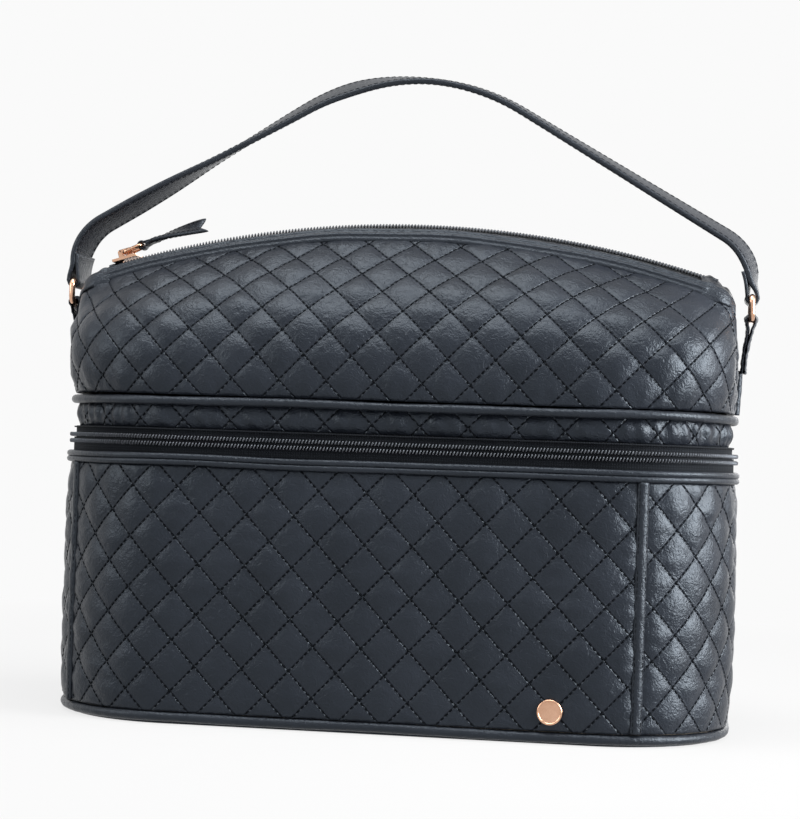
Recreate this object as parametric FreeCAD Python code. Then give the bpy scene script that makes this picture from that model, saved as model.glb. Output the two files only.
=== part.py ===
import FreeCAD, Part
import os
from math import asin, atan2, cos, degrees, pi, radians, sin, sqrt, tan

V = FreeCAD.Vector
UP = V(0, 0, 1)
ACROSS = V(0, 1, 0)

# Driving dimensions in millimetres. Origin: centre of the base, +Z up, front facing -Y.

# Lower case
case_width = 305.0
case_depth = 140.0
corner_radius = 60.0
seam_angle = {-1: 55.0, 1: 20.0}   # where the long panels end round the left and right corners
cover_thickness = 4.0       # quilted leather over foam
stiffener_thickness = 2.0
lining_thickness = 0.8
glue_line = 0.1             # gap between layers that are glued or sewn together
seat_gap = 0.3              # gap round beads, rows and other free standing trim
cord_sides = 8              # flats round a sewn piping cord
wire_sides = 12             # flats round a metal wire
base_cover_thickness = 2.0
base_board_thickness = 2.5
base_piping_radius = 2.2
wall_top = 113.0            # top edge of the quilted walls
seam_strip_width = 5.0
seam_strip_thickness = 1.0

# Rim of the lower case and the main zip
rim_cord_radius = 1.5
rim_cord_pitch = 2.55       # between the centres of the two cords
rim_cord_proud = 1.6        # how far the cords stand outside the wall
zip_height = 123.6          # parting level between the case and the lid
zip_row_gap = 1.6           # room for the neck of a slider between the two rows
zip_row_height = 2.7
zip_row_depth = 2.2
zip_row_inset = -0.9        # outer face of the rows, measured inwards from the wall
zip_tape_thickness = 0.8
zip_tape_height = 4.6       # tape beyond each row
zip_end_angle = 24.0        # ends of the zip, measured round the rear corners from the back
slider_park_angle = 37.0
park_clearance = 3.0        # from the parked slider to the start of the upper row
zip_stop_length = 2.5
hinge_leaf_gap = 0.4
hinge_leaf_angle = 20.0

# Lid floor, gathered band and upper piping
band_inset = 5.0
band_thickness = 3.0
band_top = 140.6
upper_piping_radius = 2.3
upper_piping_inset = 1.5
piping_flange = 1.0         # thickness of the sewn-in edge of a piping
lid_board_thickness = 2.5

# Soft upper bag
bag_inset = 1.0             # bag wall, measured inwards from the case wall
bag_bulge = 2.0
belly_corner_radius = 38.0  # the soft corners stand out over the piping
arch_radius = 450.0         # curve of the top zip seen from the front
arch_height = 218.0         # top edge of the front panel at mid width
mouth_inset = 3.5           # ends of the top opening, measured inwards from the case wall
mouth_half_width = 28.0
mouth_radius = 9.0
belly_share = 0.56          # shape of the rise from the piping to the mouth
shoulder_reach = 0.57
shoulder_drop = 0.30
bag_spans = 32              # points round a bag panel, less one
bag_levels = 6              # flat bands from the piping up to the mouth
normal_step = 0.004         # share of a panel over which its slope is measured
side_seam_gap = 1.4
side_piping_radius = 1.8
binding_width = 11.7
binding_thickness = 1.6
top_tape_thickness = 0.8
tent_slope = 0.22           # rise of the zip strip towards its middle
top_row_width = 2.8
top_row_height = 2.2
top_row_bevel = 0.5
zip_end_patch = 8.0         # leather patch over each end of the top zip
zip_end_margin = 2.0        # from the patch to the end of the opening

# Carry strap
strap_width = 18.0
strap_thickness = 2.6
strap_stand = 4.5           # centres of the rings, measured outwards from the case wall
strap_shoulder = 218.0      # where the straight legs would meet the slopes
strap_crown = 310.0         # where the two slopes would meet
strap_shoulder_radius = 25.0
strap_crown_radius = 100.0
ring_wire_radius = 1.4
ring_height = 10.0          # between the centres of the two cross bars
ring_bottom = 187.0
ring_corner_radius = 3.0
eye_clearance = 0.3
eye_wall = 2.2
tab_root_height = 170.0
tab_thickness = 2.2
tab_seat_steps = 6          # heights tried each way to find where a tab clears the bag

# Sliders and pulls
slider_length = 12.0
slider_half_width = 6.0
slider_plate = 1.3
slider_neck = 1.0
slider_neck_length = 4.0
top_park_margin = 8.0       # from the end of the top zip to the parked slider
crown_length = 7.0
crown_height = 4.2
crown_width = 3.0
crown_hole_radius = 1.2
crown_corner_radius = 1.4
bail_wire_radius = 0.9
bail_length = 9.0
bail_width = 9.0
pull_length = 32.0
pull_width = 10.0
pull_thickness = 2.2
pull_notch = 4.0
pull_neck_length = 3.6      # narrow part of the pull inside the bail
pull_rise = 8.0             # degrees above the zip

# Plain stud on the front
stud_radius = 5.5
stud_height = 1.6
stud_x = 76.5
stud_z = 14.0

half_width = case_width / 2
half_depth = case_depth / 2
mouth_half_length = half_width - mouth_inset
top_zip_half_length = mouth_half_length - zip_end_margin - zip_end_patch
top_park_x = top_park_margin - top_zip_half_length
strap_span = 2 * (half_width + strap_stand)
corner_x = half_width - corner_radius
corner_y = half_depth - corner_radius
far = 4 * case_width

base_inset = 2 * base_piping_radius + seat_gap
wall_bottom = 2 * base_piping_radius + base_cover_thickness / 2
board_bottom = base_cover_thickness + piping_flange
board_top = board_bottom + base_board_thickness
stiffener_inset = cover_thickness + glue_line
lining_inset = stiffener_inset + stiffener_thickness + glue_line
rim_cord_low = wall_top + seat_gap + rim_cord_radius
rim_cord_high = rim_cord_low + rim_cord_pitch
rim_top = rim_cord_high + rim_cord_radius
row_inner = zip_row_inset + zip_row_depth
tape_inset = row_inner + glue_line
tape_inner = tape_inset + zip_tape_thickness
lower_row_top = zip_height - zip_row_gap / 2
upper_row_bottom = zip_height + zip_row_gap / 2
lower_tape_bottom = rim_top + glue_line
upper_tape_top = upper_row_bottom + zip_tape_height
band_bottom = upper_tape_top + glue_line
band_inner = band_inset + band_thickness
flange_bottom = band_top + glue_line
flange_top = flange_bottom + piping_flange
upper_piping_z = flange_bottom + piping_flange / 2
bag_bottom = upper_piping_z + upper_piping_radius + seat_gap
arch_center_z = arch_height - arch_radius
tab_width = strap_width - 2 * (ring_corner_radius - ring_wire_radius)
tab_foot = tab_width / 2    # sewn patch below the tab's root
tab_seat_span = 1.5 * tab_foot


def arch_z(x):
    return arch_center_z + sqrt(arch_radius ** 2 - x ** 2)


# Shared building blocks

def rounded_loop(centers, right, up, radius):
    """Closed wire round four corner centres, listed anticlockwise from the lower right one."""
    arcs = []
    for k in range(4):
        angles = [radians(90 * (k - 1) + t) for t in (0, 45, 90)]
        arcs.append([centers[k] + (right * cos(a) + up * sin(a)) * radius for a in angles])
    edges = []
    for k in range(4):
        edges.append(Part.Arc(*arcs[k]).toShape())
        edges.append(Part.LineSegment(arcs[k][2], arcs[(k + 1) % 4][0]).toShape())
    return Part.Wire(edges)


def round_wire(path, normal, radius, sides):
    """Bar or cord along a flat path of straight and arched edges, with a many sided section."""
    bars = []
    for edge in path.Edges:
        start = edge.valueAt(edge.FirstParameter)
        side = edge.tangentAt(edge.FirstParameter).cross(normal)
        angles = [2 * pi * (k + 0.5) / sides for k in range(sides)]
        corners = [start + (normal * cos(a) + side * sin(a)) * radius for a in angles]
        section = Part.Face(Part.makePolygon(corners + corners[:1]))
        if isinstance(edge.Curve, Part.Line):
            bars.append(section.extrude(edge.valueAt(edge.LastParameter) - start))
        else:
            turn = degrees(edge.LastParameter - edge.FirstParameter)
            bars.append(section.revolve(edge.Curve.Center, edge.Curve.Axis, turn))
    if len(bars) == 1:
        return bars[0]
    return bars[0].fuse(bars[1:]).removeSplitter()


def outline(inset, z):
    """Rounded rectangle that the whole case is built on."""
    centers = [V(corner_x, -corner_y, z), V(corner_x, corner_y, z),
               V(-corner_x, corner_y, z), V(-corner_x, -corner_y, z)]
    return rounded_loop(centers, V(1, 0, 0), V(0, 1, 0), corner_radius - inset)


def prism(inset, z0, z1):
    return Part.Face(outline(inset, z0)).extrude(V(0, 0, z1 - z0))


def ring(outer, inner, z0, z1):
    return prism(outer, z0, z1).cut(prism(inner, z0, z1))


def bead(inset, z, radius):
    """Round cord that follows the outline."""
    return round_wire(outline(inset, z), UP, radius, cord_sides)


def wedge(points, z0, z1):
    corners = [V(x, y, z0) for x, y in points]
    return Part.Face(Part.makePolygon(corners + corners[:1])).extrude(V(0, 0, z1 - z0))


def ray(cx, cy, ux, uy):
    return (cx + far * ux, cy + far * uy)


def end_wedge(sign, angle, z0, z1):
    """Region beside the case between a front seam and a back seam."""
    s = sin(radians(angle))
    c = cos(radians(angle))
    points = [(sign * corner_x, -corner_y), ray(sign * corner_x, -corner_y, sign * s, -c),
              ray(sign * corner_x, 0, sign, -0.5), ray(sign * corner_x, 0, sign, 0.5),
              ray(sign * corner_x, corner_y, sign * s, c), (sign * corner_x, corner_y)]
    return wedge(points, z0, z1)


def long_wedge(sign, angle_left, angle_right, z0, z1):
    """Region in front of the case (sign -1) or behind it (sign 1) between two corner angles."""
    left = radians(angle_left)
    right = radians(angle_right)
    points = [(-corner_x, sign * corner_y), ray(-corner_x, sign * corner_y, -sin(left), sign * cos(left)),
              ray(corner_x, sign * corner_y, sin(right), sign * cos(right)), (corner_x, sign * corner_y)]
    return wedge(points, z0, z1)


def arch_band(profile, angle0, angle1):
    """Solid of revolution about the arch's axis; profile points are (y, lift above the arch)."""
    points = [V(0, y, arch_height + lift) for y, lift in profile]
    face = Part.Face(Part.makePolygon(points + points[:1]))
    face.rotate(V(0, 0, arch_center_z), ACROSS, angle0)
    return face.revolve(V(0, 0, arch_center_z), ACROSS, angle1 - angle0)


def mirrored_back(shape):
    return shape.mirror(V(0, 0, 0), ACROSS)


# Lower case

def base_cover():
    return prism(base_inset, 0, base_cover_thickness)


def bottom_piping():
    cord = bead(base_piping_radius, base_cover_thickness / 2 + base_piping_radius, base_piping_radius)
    flange = ring(base_piping_radius, stiffener_inset + stiffener_thickness + piping_flange,
                  base_cover_thickness, base_cover_thickness + piping_flange)
    return cord.fuse(flange).removeSplitter()


def base_board():
    return prism(base_inset, board_bottom, board_top)


def lower_wall():
    return ring(0, cover_thickness, wall_bottom + seat_gap, wall_top)


def lower_panel_long(sign):
    return lower_wall().common(long_wedge(sign, seam_angle[-1], seam_angle[1], 0, wall_top))


def lower_panel_end(sign):
    return lower_wall().common(end_wedge(sign, seam_angle[sign], 0, wall_top))


def seam_strip(sign_x, sign_y):
    half_angle = degrees(seam_strip_width / 2 / corner_radius)
    band = ring(-glue_line - seam_strip_thickness, -glue_line, wall_bottom + seat_gap, wall_top - seat_gap)
    low = radians(seam_angle[sign_x] - half_angle)
    high = radians(seam_angle[sign_x] + half_angle)
    cx = sign_x * corner_x
    cy = sign_y * corner_y
    slot = wedge([(cx, cy), ray(cx, cy, sign_x * sin(low), sign_y * cos(low)),
                  ray(cx, cy, sign_x * sin(high), sign_y * cos(high))], 0, wall_top)
    return band.common(slot)


def wall_stiffener():
    return ring(stiffener_inset, stiffener_inset + stiffener_thickness, board_top, wall_top)


def lower_lining():
    floor_top = board_top + glue_line + lining_thickness
    cup = prism(lining_inset, board_top + glue_line, wall_top + seat_gap)
    return cup.cut(prism(lining_inset + lining_thickness, floor_top, wall_top + seat_gap))


def rim_piping():
    low = bead(-rim_cord_proud + rim_cord_radius, rim_cord_low, rim_cord_radius)
    high = bead(-rim_cord_proud + rim_cord_radius, rim_cord_high, rim_cord_radius)
    flange_z = (rim_cord_low + rim_cord_high) / 2
    flange = ring(-rim_cord_proud + rim_cord_radius, lining_inset + lining_thickness,
                  flange_z - piping_flange / 2, flange_z + piping_flange / 2)
    return low.fuse([high, flange]).removeSplitter()


def zip_part(shape, left_end, right_end):
    return shape.cut(long_wedge(1, left_end, right_end, 0, band_top))


def lower_zip_tape():
    wall = ring(tape_inset, tape_inner, lower_tape_bottom, lower_row_top)
    foot = ring(tape_inset, lining_inset, lower_tape_bottom, lower_tape_bottom + zip_tape_thickness)
    return zip_part(wall.fuse(foot).removeSplitter(), zip_end_angle, zip_end_angle)


def lower_zip_row():
    row = ring(zip_row_inset, row_inner, lower_row_top - zip_row_height, lower_row_top)
    return zip_part(row, zip_end_angle + stop_angle(), zip_end_angle + stop_angle())


def upper_left_end():
    """The upper row starts in front of the parked slider."""
    return slider_park_angle + degrees((slider_length / 2 + park_clearance) / corner_radius)


def stop_angle():
    return degrees((zip_stop_length + seat_gap) / corner_radius)


def upper_zip_tape():
    wall = ring(tape_inset, tape_inner, upper_row_bottom, upper_tape_top)
    head = ring(tape_inset, band_inner, upper_tape_top - zip_tape_thickness, upper_tape_top)
    return zip_part(wall.fuse(head).removeSplitter(), upper_left_end(), zip_end_angle)


def upper_zip_row():
    row = ring(zip_row_inset, row_inner, upper_row_bottom, upper_row_bottom + zip_row_height)
    return zip_part(row, upper_left_end() + stop_angle(), zip_end_angle + stop_angle())


def zip_stops(z0, left_end, right_end):
    """Clamps at the two ends of one row."""
    body = ring(zip_row_inset, row_inner, z0, z0 + zip_row_height)
    length = degrees(zip_stop_length / corner_radius)
    kept = body.common(long_wedge(1, left_end + length, right_end + length, 0, band_top))
    return kept.cut(long_wedge(1, left_end, right_end, 0, band_top))


def hinge_leaf(z0, z1, z_flange, inner):
    """Half of the fabric hinge along the back, with its sewn-in edge."""
    wall = ring(tape_inset, tape_inner, z0, z1)
    edge = ring(tape_inset, inner, z_flange, z_flange + zip_tape_thickness)
    leaf = wall.fuse(edge).removeSplitter()
    return leaf.common(long_wedge(1, hinge_leaf_angle, hinge_leaf_angle, 0, band_top))


def front_stud():
    """Plain domed stud."""
    center = V(stud_x, -half_depth - glue_line, stud_z)
    dome = (stud_radius ** 2 + stud_height ** 2) / (2 * stud_height)
    half_angle = asin(stud_radius / dome) / 2
    rim = center + V(stud_radius, 0, 0)
    crest = center - V(0, stud_height, 0)
    hub = center + V(0, dome - stud_height, 0)
    middle = hub + V(dome * sin(half_angle), -dome * cos(half_angle), 0)
    edges = [Part.LineSegment(center, rim).toShape(), Part.Arc(rim, middle, crest).toShape(),
             Part.LineSegment(crest, center).toShape()]
    return Part.Face(Part.Wire(edges)).revolve(center, ACROSS, 360)


# Lid floor and band

def gathered_band():
    return ring(band_inset, band_inner, band_bottom, band_top)


def upper_piping():
    cord = bead(upper_piping_inset, upper_piping_z, upper_piping_radius)
    flange = ring(upper_piping_inset, band_inner + piping_flange, flange_bottom, flange_top)
    return cord.fuse(flange).removeSplitter()


def lid_board():
    return prism(band_inner + glue_line, band_top - lid_board_thickness, band_top)


def lid_lining():
    top = band_top - lid_board_thickness - glue_line
    return prism(band_inner + glue_line, top - lining_thickness, top)


def bag_floor():
    return prism(band_inner + piping_flange + glue_line, flange_bottom, flange_bottom + lining_thickness)


# Soft upper bag

def half_outline_point(share, half_x, half_y, radius):
    """Point on the front half of a rounded rectangle, from the left side to the right side."""
    side = half_y - radius - side_seam_gap / 2
    front = 2 * (half_x - radius)
    turn = radius * pi / 2
    walk = share * (2 * side + 2 * turn + front)
    mirror = 1.0
    if walk > side + turn + front / 2:
        walk = 2 * side + 2 * turn + front - walk
        mirror = -1.0
    if walk < side:
        x = -half_x
        y = -side_seam_gap / 2 - walk
    elif walk < side + turn:
        angle = (walk - side) / radius
        x = -half_x + radius * (1 - cos(angle))
        y = -half_y + radius * (1 - sin(angle))
    else:
        x = -half_x + radius + walk - side - turn
        y = -half_y
    return mirror * x, y


def bag_point(share, rise):
    """Point on the outer face of the front panel: share runs round the bag, rise runs up it."""
    foot_x = half_width - bag_inset
    foot_y = half_depth - bag_inset
    bx, by = half_outline_point(share, foot_x, foot_y, corner_radius - bag_inset)
    tx, ty = half_outline_point(share, mouth_half_length, mouth_half_width, mouth_radius)
    ex, ey = half_outline_point(share, foot_x + bag_bulge, foot_y + bag_bulge, belly_corner_radius)
    top = arch_z(tx)
    low = V(bx, by, bag_bottom)
    belly = V(ex, ey, bag_bottom + belly_share * (top - bag_bottom))
    shoulder = V(tx + shoulder_reach * (ex - tx), ty + shoulder_reach * (ey - ty),
                 top - shoulder_drop * (top - bag_bottom))
    high = V(tx, ty, top)
    left = 1 - rise
    lower_part = low * left ** 3 + belly * (3 * left ** 2 * rise)
    return lower_part + shoulder * (3 * left * rise ** 2) + high * rise ** 3


def bag_inner_point(share, rise, depth):
    s0 = max(0.0, share - normal_step)
    s1 = min(1.0, share + normal_step)
    r0 = max(0.0, rise - normal_step)
    r1 = min(1.0, rise + normal_step)
    along = bag_point(s1, rise) - bag_point(s0, rise)
    up = bag_point(share, r1) - bag_point(share, r0)
    inward = up.cross(along)
    inward.normalize()
    if share == 0.0 or share == 1.0:
        inward.y = 0
    if rise == 0.0:
        inward.z = 0
    inward.normalize()
    return bag_point(share, rise) + inward * depth


def bag_level(rise, depth):
    """Curve round the front half of the bag at one level."""
    curve = Part.BSplineCurve()
    curve.interpolate([bag_inner_point(i / bag_spans, rise, depth) for i in range(bag_spans + 1)])
    return curve.toShape()


def bag_end(share, depths):
    """Flat end of a skin, where it meets the side seam."""
    rises = [j / bag_levels for j in range(bag_levels + 1)]
    points = [bag_inner_point(share, rise, depths[0]) for rise in rises]
    points += [bag_inner_point(share, rise, depths[1]) for rise in reversed(rises)]
    return Part.Face(Part.makePolygon(points + points[:1]))


def bag_shell(*depths):
    """Skin between two depths below the bag's outer face, ruled from level to level."""
    skins = [[bag_level(j / bag_levels, depth) for j in range(bag_levels + 1)] for depth in depths]
    faces = [bag_end(0.0, depths), bag_end(1.0, depths)]
    for skin in skins:
        faces += [Part.makeRuledSurface(low, high) for low, high in zip(skin, skin[1:])]
    for level in (0, bag_levels):
        faces.append(Part.makeRuledSurface(skins[0][level], skins[1][level]))
    shell = Part.makeShell(faces)
    shell.sewShape()
    solid = Part.makeSolid(shell)
    if solid.Volume < 0:
        solid.reverse()
    return solid


def upper_front_panel():
    return bag_shell(0.0, cover_thickness)


def upper_lining_half():
    return bag_shell(cover_thickness + glue_line, cover_thickness + glue_line + lining_thickness)


def bag_side_x(z):
    """Reach of the bag's side at a height, found by halving the rise."""
    low = 0.0
    high = 1.0
    for _ in range(30):
        middle = (low + high) / 2
        if bag_point(1.0, middle).z < z:
            low = middle
        else:
            high = middle
    return bag_point(1.0, low).x


def side_piping(sign):
    """Cord over the seam between the front and back panels, below the sweep of the strap tab."""
    stand = side_piping_radius + seat_gap
    z0 = bag_bottom + seat_gap
    z2 = tab_root_height - tab_foot * sqrt(2) - seat_gap
    points = [V(sign * (bag_side_x(z) + stand), 0, z) for z in (z0, (z0 + z2) / 2, z2)]
    return round_wire(Part.Wire([Part.Arc(*points).toShape()]), ACROSS, side_piping_radius, cord_sides)


# Top zip

binding_outer_y = mouth_half_width - seat_gap
binding_inner_y = binding_outer_y - binding_width
tape_outer_y = binding_inner_y - glue_line
row_inner_y = zip_row_gap / 2
row_outer_y = row_inner_y + top_row_width


def tent_lift(y):
    """Height of the underside of the zip strip above the arch."""
    return seat_gap + tent_slope * (mouth_half_width - y)


row_base = tent_lift(row_inner_y) + top_tape_thickness + glue_line


def arch_angle(x):
    return degrees(atan2(x, arch_z(x) - arch_center_z))


def strip(y0, y1, thickness, half_length):
    profile = [(-y0, tent_lift(y0)), (-y1, tent_lift(y1)),
               (-y1, tent_lift(y1) + thickness), (-y0, tent_lift(y0) + thickness)]
    return arch_band(profile, -arch_angle(half_length), arch_angle(half_length))


def top_binding():
    return strip(binding_outer_y, binding_inner_y, binding_thickness, top_zip_half_length)


def top_tape():
    return strip(tape_outer_y, row_inner_y, top_tape_thickness, top_zip_half_length)


def zip_end(sign):
    """Leather patch across the mouth where the top zip ends."""
    y0 = mouth_half_width - mouth_radius
    profile = [(-y0, tent_lift(y0)), (0, tent_lift(0)), (y0, tent_lift(y0)),
               (y0, tent_lift(y0) + binding_thickness), (0, tent_lift(0) + binding_thickness),
               (-y0, tent_lift(y0) + binding_thickness)]
    inner = arch_angle(sign * (top_zip_half_length + seat_gap))
    outer = arch_angle(sign * (top_zip_half_length + seat_gap + zip_end_patch))
    return arch_band(profile, min(inner, outer), max(inner, outer))


def top_row_profile():
    crest = row_base + top_row_height
    return [(-row_outer_y, row_base), (-row_inner_y, row_base), (-row_inner_y, crest),
            (-row_outer_y + top_row_bevel, crest), (-row_outer_y, crest - top_row_bevel)]


def top_row_end(sign):
    """Each row stops short of the slider's place on the left and of the mouth's end on the right."""
    return arch_angle(sign * (top_zip_half_length - zip_stop_length - seat_gap))


def top_row():
    return arch_band(top_row_profile(), top_row_end(-1), top_row_end(1))


def top_stops():
    """One clamp on each end of each row."""
    stops = []
    for sign in (-1, 1):
        outer = arch_angle(sign * top_zip_half_length)
        inner = arch_angle(sign * (top_zip_half_length - zip_stop_length))
        clamp = arch_band(top_row_profile(), min(inner, outer), max(inner, outer))
        stops += [clamp, mirrored_back(clamp)]
    return Part.makeCompound(stops)


# Sliders and pulls. Each is built lying along X with the zip below it, then carried to its place.

def crown(z):
    """Rounded loop on a slider's plate that the bail passes through."""
    block = Part.makeBox(crown_length, crown_width, crown_height, V(-crown_length / 2, -crown_width / 2, z))
    ends = [e for e in block.Edges if e.BoundBox.YLength > crown_width / 2 and e.BoundBox.ZMin > z]
    block = block.makeFillet(crown_corner_radius, ends)
    bore = V(0, -crown_width, z + crown_height / 2)
    hole = Part.makeCylinder(crown_hole_radius, 2 * crown_width, bore, ACROSS)
    return block.cut(hole)


def slider(row_bottom, row_top, floor_drop):
    """Two plates joined by a neck, with a crown on top that holds the bail."""
    length = slider_length
    top_z = row_top + seat_gap
    floor_z = row_bottom - floor_drop
    top = Part.makeBox(length, 2 * slider_half_width, slider_plate, V(-length / 2, -slider_half_width, top_z))
    floor = Part.makeBox(length, 2 * slider_half_width, slider_plate,
                         V(-length / 2, -slider_half_width, floor_z - slider_plate))
    neck = Part.makeBox(slider_neck_length, slider_neck, top_z - floor_z,
                        V(-length / 2, -slider_neck / 2, floor_z))
    return top.fuse([floor, neck, crown(top_z + slider_plate)]).removeSplitter()


def bail_z(row_top):
    return row_top + seat_gap + slider_plate + crown_height / 2


def bail(row_top):
    """Square wire frame through the crown; its first bar is the pivot."""
    z = bail_z(row_top)
    r = 2 * bail_wire_radius
    y = bail_width / 2 - r
    centers = [V(bail_length - r, -y, z), V(bail_length - r, y, z), V(r, y, z), V(r, -y, z)]
    return round_wire(rounded_loop(centers, V(1, 0, 0), ACROSS, r), UP, bail_wire_radius, wire_sides)


def pull_tab(row_top):
    """Leather strip looped round the bail's far bar, with a swallow-tail end."""
    z = bail_z(row_top)
    x0 = bail_length
    reach = bail_wire_radius + eye_clearance
    half = pull_thickness / 2
    w = pull_width / 2
    neck = bail_width / 2 - bail_wire_radius - eye_clearance
    loop = Part.makeCylinder(reach + half, 2 * neck, V(x0, -neck, z), ACROSS)
    x1 = x0 + pull_length
    shoulder = x0 + pull_neck_length
    points = [V(x0, -neck, z - half), V(shoulder, -neck, z - half), V(shoulder + w - neck, -w, z - half),
              V(x1, -w, z - half), V(x1 - pull_notch, 0, z - half), V(x1, w, z - half),
              V(shoulder + w - neck, w, z - half), V(shoulder, neck, z - half), V(x0, neck, z - half)]
    blade = Part.Face(Part.makePolygon(points + points[:1])).extrude(V(0, 0, pull_thickness))
    hole = Part.makeCylinder(reach, 4 * neck, V(x0, -2 * neck, z), ACROSS)
    return loop.fuse(blade).cut(hole).removeSplitter()


top_row_floor = arch_height + tent_lift(row_inner_y)
top_row_crest = arch_height + row_base + top_row_height


def to_top_park(shape, lift_pull):
    """Turns a pull up by its rest angle, then carries the piece along the arch to its parked place."""
    if lift_pull:
        shape.rotate(V(0, 0, bail_z(top_row_crest)), ACROSS, -pull_rise)
    shape.rotate(V(0, 0, arch_center_z), ACROSS, arch_angle(top_park_x))
    return shape


def top_slider():
    drop = tent_slope * slider_half_width + seat_gap
    return to_top_park(slider(top_row_floor, top_row_crest, drop), False)


def top_bail():
    return to_top_park(bail(top_row_crest), True)


def top_pull():
    return to_top_park(pull_tab(top_row_crest), True)


main_plate_inset = zip_row_inset - seat_gap
main_pull_base = -seat_gap - slider_plate


def to_main_park(shape):
    """Stands a piece on the outer plate of the parked slider, with its length hanging down."""
    shape.rotate(V(0, 0, 0), ACROSS, 90)
    shape.rotate(V(0, 0, 0), UP, -90)
    shape.translate(V(0, -corner_radius + main_plate_inset - slider_plate, zip_height))
    shape.rotate(V(0, 0, 0), UP, 180 + slider_park_angle)
    shape.translate(V(-corner_x, corner_y, 0))
    return shape


def main_slider():
    """Curved plates outside and inside the rows, concentric with the corner."""
    outer = main_plate_inset
    inner = tape_inner + seat_gap
    inside_top = upper_tape_top - zip_tape_thickness - seat_gap
    half = degrees(slider_length / 2 / corner_radius)
    neck_end = degrees(slider_neck_length / corner_radius)
    outside = ring(outer - slider_plate, outer, rim_top + seat_gap, upper_tape_top)
    inside = ring(inner, inner + slider_plate, lower_tape_bottom + zip_tape_thickness + seat_gap, inside_top)
    neck = ring(outer, inner, zip_height - slider_neck / 2, zip_height + slider_neck / 2)
    plates = outside.fuse(inside).common(park_wedge(-half, half))
    neck = neck.common(park_wedge(-half, neck_end - half))
    loop = to_main_park(crown(-seat_gap))
    return plates.fuse([neck, loop]).removeSplitter()


def park_wedge(start, end):
    a = radians(slider_park_angle + start)
    b = radians(slider_park_angle + end)
    points = [(-corner_x, corner_y), ray(-corner_x, corner_y, -sin(a), cos(a)),
              ray(-corner_x, corner_y, -sin(b), cos(b))]
    return wedge(points, 0, band_top)


# Carry strap, rings and tabs

def strap_slope():
    """Angle of the straight slopes on each side of the crown."""
    return atan2(strap_crown - strap_shoulder, strap_span / 2)


def strap_face(offset):
    """Points of one face of the strap's right half, from the crown down to the leg."""
    half = strap_span / 2
    slope = strap_slope()
    top = strap_crown + offset / cos(slope)
    leg = half + offset
    shoulder = strap_shoulder + (half * tan(slope)) + offset / cos(slope) - leg * tan(slope)
    r_crown = strap_crown_radius + offset
    r_leg = strap_shoulder_radius + offset
    reach = r_crown * tan(slope)
    turn = pi / 2 - slope
    bend = r_leg * tan(turn / 2)
    crown_mid = V(0, 0, top - r_crown / cos(slope) + r_crown)
    crown_end = V(reach * cos(slope), 0, top - reach * sin(slope))
    bend_start = V(leg - bend * cos(slope), 0, shoulder + bend * sin(slope))
    bend_end = V(leg, 0, shoulder - bend)
    bend_center = V(leg - r_leg, 0, shoulder - bend)
    aim = radians(90) - slope
    mid = V(bend_center.x + r_leg * cos(aim / 2), 0, bend_center.z + r_leg * sin(aim / 2))
    return crown_mid, crown_end, bend_start, mid, bend_end


def strap_bar_height():
    return ring_bottom + ring_height


def half_line(offset):
    crown_mid, crown_end, bend_start, mid, bend_end = strap_face(offset)
    foot = V(bend_end.x, 0, strap_bar_height())
    return crown_mid, crown_end, bend_start, mid, bend_end, foot


def line_edges(offset):
    """Edges of one face of the strap from the left foot to the right foot."""
    top, crown, slope, mid, leg, foot = half_line(offset)
    flip = [V(-p.x, 0, p.z) for p in (crown, slope, mid, leg, foot)]
    return [Part.LineSegment(flip[4], flip[3]).toShape(), Part.Arc(flip[3], flip[2], flip[1]).toShape(),
            Part.LineSegment(flip[1], flip[0]).toShape(), Part.Arc(flip[0], top, crown).toShape(),
            Part.LineSegment(crown, slope).toShape(), Part.Arc(slope, mid, leg).toShape(),
            Part.LineSegment(leg, foot).toShape()]


def carry_strap():
    """Flat band extruded across its width, with an eye at each end."""
    half = strap_thickness / 2
    outer = line_edges(half)
    inner = line_edges(-half)
    foot_out = half_line(half)[5]
    foot_in = half_line(-half)[5]
    left = Part.LineSegment(V(-foot_in.x, 0, foot_in.z), V(-foot_out.x, 0, foot_out.z)).toShape()
    right = Part.LineSegment(foot_out, foot_in).toShape()
    wire = Part.Wire(Part.__sortEdges__(outer + [right] + inner + [left]))
    band = Part.Face(wire).extrude(V(0, strap_width, 0))
    band.translate(V(0, -strap_width / 2, 0))
    for sign in (-1, 1):
        band = band.fuse(eye(sign, strap_bar_height(), strap_width))
        band = band.cut(eye_hole(sign, strap_bar_height(), strap_width))
        band = band.cut(ring_loop(sign, ring_wire_radius + eye_clearance))
    return band.removeSplitter()


def eye(sign, z, width):
    radius = ring_wire_radius + eye_clearance + eye_wall
    return Part.makeCylinder(radius, width, V(sign * strap_span / 2, -width / 2, z), ACROSS)


def eye_hole(sign, z, width):
    radius = ring_wire_radius + eye_clearance
    return Part.makeCylinder(radius, 2 * width, V(sign * strap_span / 2, -width, z), ACROSS)


def ring_loop(sign, wire_radius):
    """Rectangular wire ring standing across the strap."""
    x = sign * strap_span / 2
    r = ring_corner_radius
    y = strap_width / 2 + seat_gap + ring_wire_radius - r
    low = ring_bottom + r
    high = strap_bar_height() - r
    centers = [V(x, y, low), V(x, y, high), V(x, -y, high), V(x, -y, low)]
    return round_wire(rounded_loop(centers, ACROSS, UP, r), V(1, 0, 0), wire_radius, wire_sides)


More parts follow.
